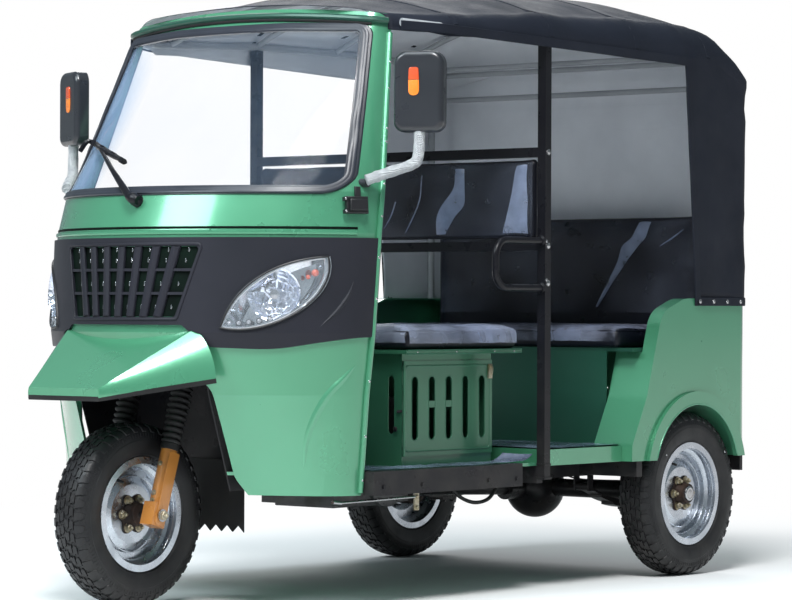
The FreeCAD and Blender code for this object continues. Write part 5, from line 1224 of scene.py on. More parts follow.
def film_fold(tree, rows, front):
    """A crease of the film on the front face of a backrest, between two edges, a little proud of it; its pale
    colour is a painted glint.
    """
    left = smooth_line([(x0, 0, z) for z, x0, x1 in rows], 8)
    right = smooth_line([(x1, 0, z) for z, x0, x1 in rows], 8)
    points = []
    for near, far in zip(left, right):
        for step in range(7):
            share = step / 6
            spot = near.lerp(far, share)
            hit, normal = tree.find_nearest((spot.x, front, spot.z))[:2]
            rise = 0.0028 + 0.0035 * math.sin(math.pi * share)
            points.append(hit + normal * rise)
    return points, grid_faces(len(left), 7)


FLOOR_TOP = 0.3955
REAR_FLOOR_TOP = 0.4352
SEAT_FILM_HEIGHTS = (0.765, 0.785, 0.812, 0.824)
DRIVER_END = [
    # across, height, round the driver's seat at one end
    (0.515, 0.762), (0.520, 0.780), (0.518, 0.806), (0.500, 0.822), (0.480, 0.828), (0.450, 0.83),
    (0.42, 0.83),
]


def seat_path(edge, top, steps):
    """A seat film's profile: up the cushion's front edge, then back along its top."""
    path = [(0, y, z) for y, z in zip(edge, SEAT_FILM_HEIGHTS)]
    return path + [(0, top + 0.025 * i, 0.83) for i in range(steps)]


def make_films(cushions):
    """Clear films on the seats and backrests, with their folds, whose pale colour is a painted glint."""
    driver_seat, rear_seat = cushions["driver_cushion"], cushions["rear_cushion"]
    # the seat films take the painted sheen of the clear film
    wrap_sheet("driver_seat_film", driver_seat, seat_path((-0.345, -0.352, -0.350, -0.325), -0.30, 21),
               (-0.488, 0.488, 60, 0), 0.0022, 0.004)
    for side, label in ((1, "left"), (-1, "right")):
        wrap_sheet("driver_end_film_" + label, driver_seat, [(x * side, 0, z) for x, z in DRIVER_END],
                   (-0.32, 0.225, 40, 1), 0.0034, 0.005)
    wrap_sheet("rear_seat_film", rear_seat, seat_path((0.640, 0.634, 0.636, 0.66), 0.69, 17),
               (-0.558, 0.558, 60, 0), 0.0022, 0.004)
    # the folds on each backrest are coloured as painted glints of the film
    for label, folds, front, path, across, out, flat in (
            ("rear", REAR_GLINT_FOLDS, 1.09, [(0, 1.10, 0.86 + 0.022 * i) for i in range(16)],
             (-0.555, 0.555, 50, 0), 0.0022, (1.11, 0.33)),
            ("driver", DRIVER_GLINT_FOLDS, 0.16, [(0, 0.185, 1.100 + 0.0155 * i) for i in range(16)],
             (-0.57, 0.57, 50, 0), 0.0020, (1.14, 0.233))):
        backrest = cushions[label + "_backrest"]
        creases = piece(label + "_film_glint_folds",
                        [film_fold(mesh_tree(backrest), rows, front) for rows in folds], "film_fold")
        # the backrest film shows faint pale blue patches: partly haze, partly painted sheen
        wrap_sheet(label + "_backrest_film", backrest, path, across, out, 0.002, "film")


def make_mats():
    """Mats on the step, the driver's floor and the passengers' floor, dark, with pale patches that are painted
    reflections in their film.
    """
    for side, label in ((1, "left"), (-1, "right")):
        def ramp(x, y):
            curl = max(0.0, (y - 0.12) / 0.06)
            return FLOOR_TOP + 0.0012 + 0.006 * crumple(x, y) + 0.022 * min(curl, 1.0) ** 2
        corners = ((0.462 * side, -0.60), (0.580 * side, 0.18))
        obj = film_sheet("step_mat_" + label, corners, (12, 60), ramp)
        if side < 0:
            obj.data.flip_normals()
    film_sheet("front_mat", ((-0.56, -0.69), (0.56, -0.345)), (50, 20),
               lambda x, y: FLOOR_TOP + 0.001 + 0.004 * crumple(x, y))
    film_sheet("passenger_mat", ((-0.600, 0.232), (0.600, 0.640)), (60, 24),
               lambda x, y: REAR_FLOOR_TOP + 0.0012 + 0.0045 * crumple(x, y, 5.0))


# ---------------------------------------------------------------------------
# Cab: visor, flanges, creases, seal, mask and grille
# ---------------------------------------------------------------------------

CAB_REAR_EDGE = [
    # height, half width, place along Y
    (0.334, 0.5753, -0.6438), (0.620, 0.590, -0.634), (0.800, 0.600, -0.619), (1.090, 0.610, -0.604),
    (1.210, 0.605, -0.584),
    (1.720, 0.510, -0.434),
]


FLANGE_FOOT, FLANGE_HEAD = 0.336, 1.688


def edge_point(z):
    """Where the cab's rear edge is at a height, on the left."""
    for low, high in zip(CAB_REAR_EDGE, CAB_REAR_EDGE[1:]):
        if low[0] <= z <= high[0]:
            share = (z - low[0]) / (high[0] - low[0])
            return Vector((low[1] + (high[1] - low[1]) * share, low[2] + (high[2] - low[2]) * share, z))
    return Vector((CAB_REAR_EDGE[-1][1], CAB_REAR_EDGE[-1][2], z))


def header_height(x):
    return 1.774 - 0.027 * (x / 0.510) ** 2


def around_nose(tree, height_of, reach, steps=60):
    """A line round the cab's front at a height that may vary across: points and outward directions."""
    path, outs = [], []
    for step in range(steps + 1):
        x = reach * (2 * step / steps - 1)
        z = height_of(x)
        hit, normal = front_hit(tree, x, z)
        path.append(hit)
        outs.append(Vector((normal.x, normal.y, 0)).normalized())
    return path, outs


def make_cab_trim():
    shell = tree_of("cab_shell")
    visor, outs = around_nose(shell, lambda x: header_height(x) - 0.021, 0.506, 80)
    lip = [(-0.002, -0.010), (0.012, -0.009), (0.019, -0.004), (0.0205, 0.002), (0.017, 0.008),
           (0.009, 0.013), (-0.002, 0.016)]
    # the visor takes the darker green: painted shade of the visor
    piece("header_visor", [strip(visor, outs, lip)], "green_deep")
    front = tree_of("cab_shell", "windscreen_seal", "windscreen")
    gutter, outs = around_nose(front, lambda x: header_height(x) - 0.033, 0.485, 80)
    channel = [(-0.001, -0.006), (0.006, -0.0055), (0.009, 0.0), (0.008, 0.005), (-0.001, 0.0065)]
    piece("header_gutter", [strip(gutter, outs, channel)], "rubber")
    flange = [edge_point(FLANGE_FOOT + (FLANGE_HEAD - FLANGE_FOOT) * i / 70) for i in range(71)]
    flange_line = [p + Vector((0.0035, -0.0075, 0)) for p in flange]
    piece("cab_rear_flange", both([tube(flange_line, 0.0085, 12)]), "green")
    trim_line = [p + Vector((-0.004, 0.0035, 0)) for p in flange]
    piece("doorway_edging", both([tube(trim_line, 0.0055, 8)]), "rubber")
    screws = []
    for z in (0.372, 0.50, 0.66, 0.90, 1.02, 1.14, 1.235, 1.262, 1.36, 1.40, 1.52, 1.60):
        spot = edge_point(z) + Vector((0.0125, -0.0085, 0))
        screws.append(dome(spot - Vector((0.002, 0, 0)), (1, -0.2, 0), 0.0042, 0.0028))
    piece("flange_screws", both(screws), "steel")
    # the fold's strip is near-black green, painted shade in the crease; the bead beside it is plain green
    for name, height, width, proud, finish in (("cowl_fold_painted_shade", 1.1035, 0.0045, 0.0012, "green_shade"),
                                               ("cowl_bead", 1.0905, 0.0075, 0.0035, "green")):
        path, outs = around_nose(shell, lambda x, z=height: z, 0.592, 90)
        profile = [(-0.001, -width), (proud, -width * 0.7), (proud * 1.25, 0), (proud, width * 0.7),
                   (-0.001, width)]
        piece(name, [strip(path, outs, profile)], finish)
    ring = rounded([(-0.569, 1.215, 0.043), (0.569, 1.215, 0.043), (0.477, 1.703, 0.033),
                    (0.2205, 1.713, 0.4),
                    (-0.2205, 1.713, 0.4), (-0.477, 1.703, 0.033)], 8)
    path, outs = on_front(tree_of("windscreen_seal"), spaced(ring, 0.02))
    lips = [(-0.001, -0.0125), (0.0022, -0.0115), (0.0040, -0.006), (0.0034, -0.001), (0.0034, 0.001),
            (0.0048, 0.006),
            (0.0030, 0.0115), (-0.001, 0.0125)]
    piece("seal_bead", [strip(path, outs, lips, True)], "seal")


def ridge_on(tree, spots, width, proud):
    """A soft pressed ridge along front-view (x, z) points, fading at both ends."""
    line = smooth_line([(x, 0, z) for x, z in spots], 12)
    path, outs = on_front(tree, [(spot.x, spot.z) for spot in line])
    count = len(path)
    points = []
    for i, (point, out) in enumerate(zip(path, outs)):
        before, after = path[max(i - 1, 0)], path[min(i + 1, count - 1)]
        along = (after - before).normalized()
        across = out.cross(along).normalized()
        fade = math.sin(math.pi * i / (count - 1)) ** 0.6
        for share, height in ((-1.0, -0.1), (-0.65, 0.35), (-0.25, 0.95), (0.0, 1.0), (0.3, 0.55),
                              (1.0, -0.1)):
            points.append(point + across * width * share * max(fade, 0.05) + out * proud * height * fade)
    return points, grid_faces(count, 6)


MASK_CRESCENT = [(0.593, 0.948), (0.588, 0.919), (0.5815, 0.897), (0.571, 0.870), (0.559, 0.847),
                 (0.541, 0.819)]
APRON_CREASE = [(0.586, 0.706), (0.570, 0.668), (0.5454, 0.624), (0.515, 0.558), (0.493, 0.491),
                (0.479, 0.404)]
GRILLE_BAR = [(-0.001, -0.0128), (0.0014, -0.0120), (0.0056, -0.003), (0.0062, 0.002), (0.0014, 0.0120),
              (-0.001, 0.0128)]


def make_mask_details():
    """Crescents beside the lamps, apron creases, a near-black sheet of painted shade in the grille's openings,
    and the grille's frame, bars and clips.
    """
    mask = tree_of("front_mask", "cab_shell")
    piece("mask_crescents", both([ridge_on(mask, MASK_CRESCENT, 0.0065, 0.004)]), "mask")
    shell = tree_of("cab_shell")
    piece("apron_creases", both([ridge_on(shell, APRON_CREASE, 0.013, 0.005)]), "green")
    rows = ((0.846, 0.200), (0.948, 0.231), (1.049, 0.261))
    spots = [((2 * i / 24 - 1) * half, z) for i in range(25) for z, half in rows]
    # a near-black sheet behind the grille bars: painted shade in the openings
    piece("grille_painted_shade", [(on_front(shell, spots, 0.0006)[0], grid_faces(25, 3))], "green_shade")
    outline = rounded([(-0.206, 0.8385, 0.010), (0.206, 0.8385, 0.010), (0.269, 1.0565, 0.010),
                       (-0.269, 1.0565, 0.010)], 4)
    path, outs = on_front(mask, spaced(outline, 0.012))
    piece("grille_frame", [strip(path, outs, bead(0.0045, 0.0035, -0.001, 0.0022, 0.0034), True)], "mask")
    bars = []
    for i in range(1, 8):
        share = 2 * i / 8 - 1
        foot, head = share * 0.192, share * 0.254
        path, outs = on_front(mask,
                              [(foot + (head - foot) * t, 0.847 + 0.201 * t)
                               for t in [k / 22 for k in range(23)]])
        bars.append(strip(path, outs, GRILLE_BAR))
    piece("grille_bar_ridges", bars, "mask")
    stubs = []
    for i in range(8):
        share = (2 * i + 1) / 8 - 1
        for t in (0.14, 0.47, 0.80, 0.95):
            x, z = share * (0.192 + 0.062 * t) + 0.0075, 0.845 + 0.205 * t
            hit, normal = front_hit(mask, x, z)
            stubs.append(dome(hit - normal * 0.001, normal, 0.0036, 0.0035, 10))
            stubs.append(block((-0.0018, -0.006, -0.001), (0.0018, 0.006, 0.003), 0.0006,
                               facing(hit, normal)))
    piece("grille_clips", stubs, "chrome")


BEAK_TIP, BEAK_NOSE, BEAK_REAR = -1.288, -1.064, -1.008


def beak_corner(y):
    """The mudguard's lower side corner at a station."""
    share = (y - BEAK_TIP) / (BEAK_NOSE - BEAK_TIP)
    return Vector((0.142 + 0.156 * share, y, 0.614 + 0.041 * share))


def make_mudguard_edge():
    """Black rubber lip round the mudguard's lower edge, from one rear corner to the other."""
    left = [beak_corner(BEAK_REAR + (BEAK_TIP - BEAK_REAR) * step / 24) for step in range(25)]
    left = [p + Vector((-0.001, 0.0015, 0)) for p in left]
    corner = left[-1]
    nose = [Vector((x, corner.y, corner.z)) for x in (0.125, 0.06, 0.0, -0.06, -0.125)]
    line = left + nose + [Vector((-p.x, p.y, p.z)) for p in reversed(left)]
    outs = []
    for point in line:
        outs.append(Vector((point.x * 0.9, -0.12, 0)).normalized() if abs(point.x) > 0.13
                    else Vector((0, -1, 0)))
    lip = [(-0.004, -0.008), (0.0010, -0.0095), (0.0022, -0.002), (0.0015, 0.0045), (-0.004, 0.0048)]
    piece("mudguard_rubber", [strip(line, outs, lip)], "rubber")


# ---------------------------------------------------------------------------
# Headlamps and tail lamps
# ---------------------------------------------------------------------------

LAMP_LOW, LAMP_UPPER, LAMP_HIGH, LAMP_LOWER = (0.330, 0.814), (0.412, 0.958), (0.556, 1.022), (0.486, 0.846)
LAMP_MIDDLE = Vector((0.442, 0.915))


def arc_through(a, b, c, steps):
    """Points on the circle through three 2-D points, from the first to the last."""
    (x1, y1), (x2, y2), (x3, y3) = a, b, c
    d = 2 * (x1 * (y2 - y3) + x2 * (y3 - y1) + x3 * (y1 - y2))
    q1, q2, q3 = x1 ** 2 + y1 ** 2, x2 ** 2 + y2 ** 2, x3 ** 2 + y3 ** 2
    ux = (q1 * (y2 - y3) + q2 * (y3 - y1) + q3 * (y1 - y2)) / d
    uy = (q1 * (x3 - x2) + q2 * (x1 - x3) + q3 * (x2 - x1)) / d
    radius = math.hypot(x1 - ux, y1 - uy)
    start, middle, end = (math.atan2(y - uy, x - ux) for x, y in (a, b, c))
    middle = start + math.remainder(middle - start, 2 * math.pi)
    end = middle + math.remainder(end - middle, 2 * math.pi)
    angles = [start + (end - start) * k / steps for k in range(steps + 1)]
    return [(ux + radius * math.cos(angle), uy + radius * math.sin(angle)) for angle in angles]


def lamp_outline(inset):
    """The eye-shaped outline in front view, set in."""
    ring = arc_through(LAMP_LOW, LAMP_UPPER, LAMP_HIGH, 24)[:-1] + arc_through(LAMP_HIGH, LAMP_LOWER,
                                                                               LAMP_LOW, 24)[:-1]
    arms = [Vector(spot) - LAMP_MIDDLE for spot in ring]
    return [LAMP_MIDDLE + arm * (1 - inset / arm.length) for arm in arms]


def inside_outline(outline, x, z):
    inside = False
    for a, b in zip(outline, outline[1:] + outline[:1]):
        if (a[1] > z) != (b[1] > z) and x < (b[0] - a[0]) * (z - a[1]) / (b[1] - a[1]) + a[0]:
            inside = not inside
    return inside


def trimmed(part, keep):
    """Only the faces of a part whose every point passes a test."""
    points, faces = part
    return points, [face for face in faces if all(keep(points[i]) for i in face)]


def make_headlamps():
    lens = tree_of("headlamp_lenses")
    inner = [tuple(p) for p in lamp_outline(0.007)]
    centre, normal = front_hit(lens, 0.452, 0.912)
    out = (normal + Vector((0, -0.35, 0))).normalized()
    bowl = [(-0.052, 0.004), (-0.051, 0.016), (-0.046, 0.030), (-0.037, 0.046), (-0.025, 0.060),
            (-0.012, 0.070), (-0.007, 0.074),
            (-0.006, 0.078)]
    dish = trimmed(turned(bowl, centre, out, 72), lambda p: inside_outline(inner, p[0], p[2]))
    piece("lamp_reflectors", both([dish]), "reflector")
    bulbs = [turned([(-0.050, 0.010), (-0.040, 0.012), (-0.034, 0.0115), (-0.030, 0.009), (-0.026, 0.0)],
                    centre, out, 20),
             turned([(-0.028, 0.014), (-0.022, 0.0155), (-0.018, 0.013), (-0.016, 0.0)], centre, out, 20)]
    piece("lamp_bulbs", both(bulbs), "steel")
    ring, outs = on_front(tree_of("headlamp_lenses", "front_mask"), lamp_outline(0.0015), 0.0005)
    bezel = strip(ring, outs, bead(0.0030, 0.0026, -0.004, 0.0018, 0.0030), True)
    piece("lamp_bezels", both([bezel]), "plastic_dark")
    ring, outs = on_front(lens, lamp_outline(0.0085), -0.0045)
    rim = strip(ring, outs, bead(0.003, 0.003, -0.006, 0.0005, 0.0010), True)
    piece("lamp_inner_rims", both([rim]), "chrome")
    bulbs = []
    for x, z, radius in ((0.534, 0.974, 0.011), (0.521, 0.962, 0.007)):
        hit, around = front_hit(lens, x, z)
        bulbs.append(dome(hit - around * 0.016, around, radius, radius * 0.9, 20))
    piece("lamp_indicators", both(bulbs), "amber_dark")
    dots, rings = [], []
    for i in range(5):
        x, z = 0.352 + 0.0235 * i, 0.8285 + 0.0012 * i * i * 0.6
        hit, around = front_hit(lens, x, z)
        dots.append(dome(hit - around * 0.0085, around, 0.0062, 0.004, 16))
        rings.append(turned([(0, 0.0092), (0.003, 0.0090), (0.003, 0.0068), (0.0, 0.0064)],
                            hit - around * 0.0095, around, 20))
    piece("lamp_leds", both(dots), "led")
    piece("lamp_led_rings", both(rings), "plastic_dark")


def make_tail_lamps():
    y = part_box("tail_lamps")[0].y
    inner, outer = 0.496, 0.588
    place = Matrix.Translation((0, y - 0.0005, 0)) @ Matrix.Rotation(math.pi / 2, 4,
                                                                     "X") @ Matrix.Rotation(math.pi, 4, "Y")

    for name, finish, inset, z_low, z_high, thick, radius, bevel in (
            ("frames", "plastic_dark", 0.0, 0.678, 0.838, 0.0038, 0.010, 0.001),
            ("red", "red", 0.004, 0.682, 0.752, 0.0078, 0.008, 0.0018),
            ("amber", "amber", 0.004, 0.780, 0.834, 0.0078, 0.008, 0.0018),
            ("clear", "lens", 0.004, 0.754, 0.778, 0.0074, 0.004, 0.0012)):
        outline = rounded_box((inset - outer, z_low), (-inner - inset, z_high), radius, 4)
        piece("tail_lamp_" + name, both([slab(outline, thick, place, bevel)]), finish)
    screws = [dome((0.542, y + 0.0076, z), (0, 1, 0), 0.0030, 0.0006) for z in (0.690, 0.826)]
    piece("tail_lamp_screws", both(screws), "steel")
    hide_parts("tail_lamps")


# ---------------------------------------------------------------------------
# Mirrors, wiper and small fittings on the cab
# ---------------------------------------------------------------------------

MIRROR_CENTRE = Vector((0.708, -0.543, 1.502))
MIRROR_TURN = math.radians(24)


def make_mirror_details():
    """Glass, reflectors on the back of the head, and the wrapped arm of each mirror."""
    place = Matrix.Translation(MIRROR_CENTRE) @ Matrix.Rotation(MIRROR_TURN, 4, "Z")
    back = place @ Matrix.Translation((0, 0.0226, 0)) @ Matrix.Rotation(-math.pi / 2, 4, "X")
    outline = rounded([(-0.066, -0.109, 0.024), (0.066, -0.109, 0.024), (0.066, 0.109, 0.032),
                       (-0.066, 0.109, 0.032)], 6)
    piece("mirror_glass", both([slab(outline, 0.0018, back, 0.0006)]), "mirror")
    front = place @ Matrix.Translation((-0.012, -0.0220, 0.028)) @ Matrix.Rotation(math.pi / 2, 4, "X")
    upper = rounded([(-0.016, 0.006, 0.001), (0.016, 0.006, 0.001), (0.014, 0.042, 0.007),
                     (-0.014, 0.042, 0.007)], 5)
    lower = rounded([(-0.016, -0.040, 0.014), (0.016, -0.040, 0.014), (0.016, 0.005, 0.001),
                     (-0.016, 0.005, 0.001)], 6)
    # the amber reflectors glow a little: painted light
    piece("mirror_reflector_tops", both([slab(upper, 0.0040, front, 0.001)]), "amber_dark")
    piece("mirror_reflectors", both([slab(lower, 0.0034, front, 0.001)]), "amber")
    foot = Vector((0.612, -0.668, 1.243))
    elbow = Vector((0.708, -0.543, 1.298))
    line = smooth_line([foot, foot.lerp(elbow, 0.45), foot.lerp(elbow, 0.85),
                        elbow + Vector((-0.002, -0.004, 0.016)),
                        (0.708, -0.543, 1.388)], 7)
    radii = [0.0165 + 0.0022 * noise.noise(Vector((i * 0.7, 0.2, 0.5))) for i in range(len(line))]
    piece("mirror_arm_wrap", both([tube(line, radii, 16)]), "wrap")


def make_cowl_fittings():
    shell = tree_of("cab_shell")
    hit, normal = cast(shell, (2.0, -2.0, 1.168), (-2.0 + 0.552, 2.0 - 0.655, 0))
    place = facing(hit + normal * 0.0005, normal)
    parts = [block((-0.034, -0.024, 0.0), (0.034, 0.026, 0.020), 0.004, place),
             block((-0.004, 0.020, 0.004), (0.014, 0.056, 0.014), 0.003, place),
             block((-0.026, -0.017, 0.018), (0.028, 0.017, 0.030), 0.004, place),
             block((-0.042, 0.012, 0.004), (-0.030, 0.024, 0.024), 0.003, place),
             block((-0.042, -0.024, 0.004), (-0.030, -0.013, 0.024), 0.003, place)]
    piece("cowl_bracket", parts, "plastic_dark")
    screws = [dome(place @ Vector((-0.037, y, 0.0235)), place.to_3x3() @ Vector((0, 0, 1)), 0.0036, 0.0022)
              for y in (-0.0185, 0.018)]
    piece("cowl_bracket_screws", screws, "steel")


WIPER = {
    # across, height, distance in front of the glass or the cowl
    "pivot": (0.022, 1.184, 0.004),
    "cap": (0.006, 1.196, 0.026),
    "elbow": (-0.130, 1.282, 0.036),
    "grip": (-0.272, 1.352, 0.038),
    "near": (-0.110, 1.305, 0.018),
    "far": (-0.400, 1.376, 0.018),
    "hook": (-0.436, 1.352, 0.052),
}


def make_wiper():
    """Boss with its cap, tapered arm, bridge and rubber blade, in place of the plain solid."""
    glass = tree_of("cab_shell", "windscreen", "windscreen_seal")
    spots, outs = {}, {}
    for name, (x, z, proud) in WIPER.items():
        hit, normal = front_hit(glass, x, z)
        spots[name] = hit + Vector((0, -proud, 0))
        outs[name] = normal
    foot = spots["pivot"]
    boss = turned([(-0.004, 0.019), (0.006, 0.019), (0.010, 0.016), (0.022, 0.015), (0.027, 0.011),
                   (0.029, 0)],
                  foot, outs["pivot"], 24)
    head = foot + outs["pivot"] * 0.018
    yoke = tube([head + (spots["cap"] - head) * share for share in (-0.9, 0.0, 0.6, 1.3)],
                [0.013, 0.019, 0.016, 0.011], 12)
    arm = tube(smooth_line([spots["cap"], spots["cap"].lerp(spots["elbow"], 0.5), spots["elbow"],
                            spots["grip"]], 8),
               [0.0125 - 0.0003 * i for i in range(25)], 10)
    near, far, grip = spots["near"], spots["far"], spots["grip"]
    bridge = tube(smooth_line([near.lerp(far, 0.16), near.lerp(far, 0.3) + Vector((0, -0.012, 0)), grip,
                               near.lerp(far, 0.76) + Vector((0, -0.012, 0)), near.lerp(far, 0.9)], 6),
                               0.0072, 8)
    hook = tube(smooth_line([far, far.lerp(spots["hook"], 0.3) + Vector((0, -0.012, 0.012)), spots["hook"]],
                            6), 0.0075, 8)
    clips = [tube([near.lerp(far, share) + Vector(ends) for ends in ((0, -0.012, 0.004), (0, 0.004, -0.002))],
                  0.0095, 8)
             for share in (0.04, 0.34, 0.68, 0.96)]
    metal = piece("wiper_arm", [boss, yoke, arm, bridge, hook] + clips, "black_paint")
    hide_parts("wiper")
    blade = tube([near.lerp(far, i / 24) for i in range(25)], 0.0082, 8)
    lip = tube([near.lerp(far, i / 24) + Vector((0, 0.009, -0.003)) for i in range(25)], 0.0022, 6)
    piece("wiper_blade", [blade, lip], "rubber")


RAKE = math.radians(17.5)
FORK_BASE = Vector((0, -0.973083, 0.254468))
FORK_BACK = Vector((0, math.cos(RAKE), -math.sin(RAKE)))
FORK_AXIS = Vector((0, math.sin(RAKE), math.cos(RAKE)))
LEG_ACROSS, LEG_BACK = 0.105, -0.045
BELLOW_LOW, BELLOW_HIGH, BELLOW_FOLDS = 0.214, 0.446, 13


def fork_place(x, back, along):
    """A point from across, behind and along the steering axis."""
    return FORK_BASE + Vector((x, 0, 0)) + FORK_BACK * back + FORK_AXIS * along


def fork_line(spots):
    """A smooth line through (across, behind the legs, along) points on the fork."""
    return smooth_line([fork_place(x, LEG_BACK + back, along) for x, back, along in spots], 8)


def make_fork_details():
    """Bellows over the springs, leg caps, pinch bolts and the brake cable."""
    axis = fork_place(0, 0, 1) - fork_place(0, 0, 0)
    fore = fork_place(0, -1, 0) - fork_place(0, 0, 0)
    rise = (BELLOW_HIGH - BELLOW_LOW) / BELLOW_FOLDS
    profile = [(0.211, 0.020)]
    for k in range(BELLOW_FOLDS):
        start = BELLOW_LOW + (BELLOW_HIGH - BELLOW_LOW) * k / BELLOW_FOLDS
        wide = 0.0335 - 0.004 * abs(2 * k / (BELLOW_FOLDS - 1) - 1)
        profile += [(start, 0.0235), (start + rise * 0.35, wide), (start + rise * 0.6, wide),
                    (start + rise * 0.95, 0.0235)]
    profile.append((0.4462, 0.020))
    collar = [(0.196, 0.0242), (0.198, 0.0275), (0.214, 0.0275), (0.218, 0.024), (0.218, 0.020)]
    bellows, collars, bolts, washers, plates = [], [], [], [], []
    for side in (1, -1):
        origin = fork_place(side * LEG_ACROSS, LEG_BACK, 0)
        bellows.append(turned(profile, origin, axis, 28))
        collars.append(turned(collar, origin, axis, 28))
        for along in (0.038, 0.062, 0.150):
            bolts.append(bolt(fork_place(side * LEG_ACROSS, LEG_BACK - 0.024, along), fore, 0.0062, 0.0055))
        nut = fork_place(side * (LEG_ACROSS + 0.033), LEG_BACK, 0)
        bolts.append(hex_nut(nut, (side, 0, 0), 0.0145, 0.010))
        washers.append(turned([(-0.0005, 0.0185), (0.003, 0.0185), (0.0032, 0)],
                              nut - Vector((side * 0.004, 0, 0)),
                              (side, 0, 0), 24))
    for name, parts, finish in (("bellows", bellows, "rubber"), ("collars", collars, "rubber"),
                                ("bolts", bolts, "zinc"),
                                ("washers", washers, "steel")):
        made = piece("fork_" + name, parts, finish, "steering")
        if name == "bellows":
            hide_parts("fork_springs")
    for side in (1, -1):
        out = Vector((side, 0, 0))
        up = axis.normalized()
        fore = up.cross(out)
        centre = fork_place(side * LEG_ACROSS + side * 0.0236, LEG_BACK, 0)
        outline = rounded([(-0.021, -0.030, 0.012), (0.021, -0.030, 0.012), (0.0215, 0.120, 0.006),
                           (0.0215, 0.190, 0.006),
                           (-0.0215, 0.190, 0.006), (-0.0215, 0.120, 0.006)], 5)
        matrix = Matrix.Translation(centre) @ Matrix((fore, up, fore.cross(up))).transposed().to_4x4()
        plates.append(slab(outline, 0.003 * (1 if fore.cross(up).dot(out) > 0 else -1), matrix, 0.001))
    piece("fork_side_plates", plates, "orange", "steering")
    cable = fork_line([(0.075, 0.030, 0.010), (0.098, 0.036, 0.10), (0.104, 0.034, 0.22),
                       (0.096, 0.040, 0.34), (0.070, 0.036, 0.44)])
    piece("front_brake_pipe", [tube(cable, 0.0032, 8)], "rubber", "steering")
    drive = fork_line([(-0.100, 0.022, 0.06), (-0.100, 0.050, 0.16), (-0.098, 0.034, 0.30),
                       (-0.080, 0.034, 0.44)])
    piece("speedometer_drive", [tube(drive, 0.0028, 8)], "rubber", "steering")


BAR_HEIGHT = 0.812 + 0.034 + 0.011
BAR_SWEEP = 0.070


def make_handlebar_details():
    """Ribbed grips, levers, switch blocks and the instrument pod with a generic dial."""
    axis = (fork_place(0, 0, 1) - fork_place(0, 0, 0)).normalized()
    fore = fork_place(0, -1, 0) - fork_place(0, 0, 0)
    grips, switches, levers = [], [], []
    for side in (1, -1):
        end = fork_place(side * 0.310, BAR_SWEEP, BAR_HEIGHT)
        along = (end - fork_place(side * 0.1395, 0, BAR_HEIGHT)).normalized()
        profile = [(-0.114, 0.0165)]
        for k in range(14):
            start = -0.110 + 0.0075 * k
            profile += [(start, 0.0168), (start + 0.002, 0.0180), (start + 0.005, 0.0180),
                        (start + 0.007, 0.0168)]
        profile += [(-0.004, 0.0175), (-0.001, 0.0190), (0.002, 0.0185), (0.0035, 0.014), (0.0035, 0)]
        grips.append(turned(profile, end, along, 24))
        base = end - along * 0.140
        switches.append(turned([(-0.022, 0.0), (-0.022, 0.018), (-0.018, 0.021), (0.016, 0.021),
                                (0.020, 0.018), (0.020, 0.0)], base, along, 20))
        lever = smooth_line([base + fore * 0.020, base + fore * 0.045 + along * 0.02,
                             base + fore * 0.052 + along * 0.08,
                             base + fore * 0.050 + along * 0.150], 6)
        levers.append(tube(lever, [0.0055 - 0.0015 * i / len(lever) for i in range(len(lever))], 8))
    piece("handlebar_grips", grips, "rubber", "steering")
    piece("handlebar_switches", switches, "plastic_dark", "steering")
    piece("handlebar_levers", levers, "steel", "steering")
    base = fork_place(0, -0.01, BAR_HEIGHT + 0.004)
    face = (axis + Vector((0, 0.9, 0))).normalized()
    pod = [turned([(-0.030, 0.030), (-0.022, 0.044), (0.004, 0.050), (0.010, 0.050), (0.010, 0.045),
                   (0.004, 0.0435)], base, face, 40)]
    piece("dial_pod", pod, "plastic_dark", "steering")
    piece("dial_face", [turned([(0.0045, 0.0436), (0.0048, 0)], base, face, 40)], "dial", "steering")
    place = facing(base + face * 0.0052, face)
    ticks = []
    for k in range(25):
        angle = math.radians(225 - 270 * k / 24)
        long = 0.004 if k % 4 else 0.007
        direction = Vector((math.cos(angle), math.sin(angle), 0))
        ticks.append(tube([place @ (direction * (0.040 - long)), place @ (direction * 0.040)], 0.0004, 4))
    hand = Vector((math.cos(math.radians(222)), math.sin(math.radians(222)), 0.02))
    ticks.append(tube([place @ Vector((0, 0, 0.001)), place @ (hand * 0.034)], [0.0011, 0.0004], 5))
    ticks.append(dome(place.translation, face, 0.0045, 0.002))
    piece("dial_marks", ticks, "plastic_dark", "steering")
    piece("dial_glass", [turned([(0.0095, 0.0455), (0.0108, 0.030), (0.0112, 0)], base, face, 32)], "lens",
          "steering")


# ---------------------------------------------------------------------------
# Cabin, seat box, posts and the rear body
# ---------------------------------------------------------------------------


DOOR_PLANE = 0.4553
HINGE_Y, DOOR_LENGTH = -0.299, 0.434
SLOT_MIDDLE, SLOT_REACH, SLOT_HALF = 0.569, 0.0965, 0.0158


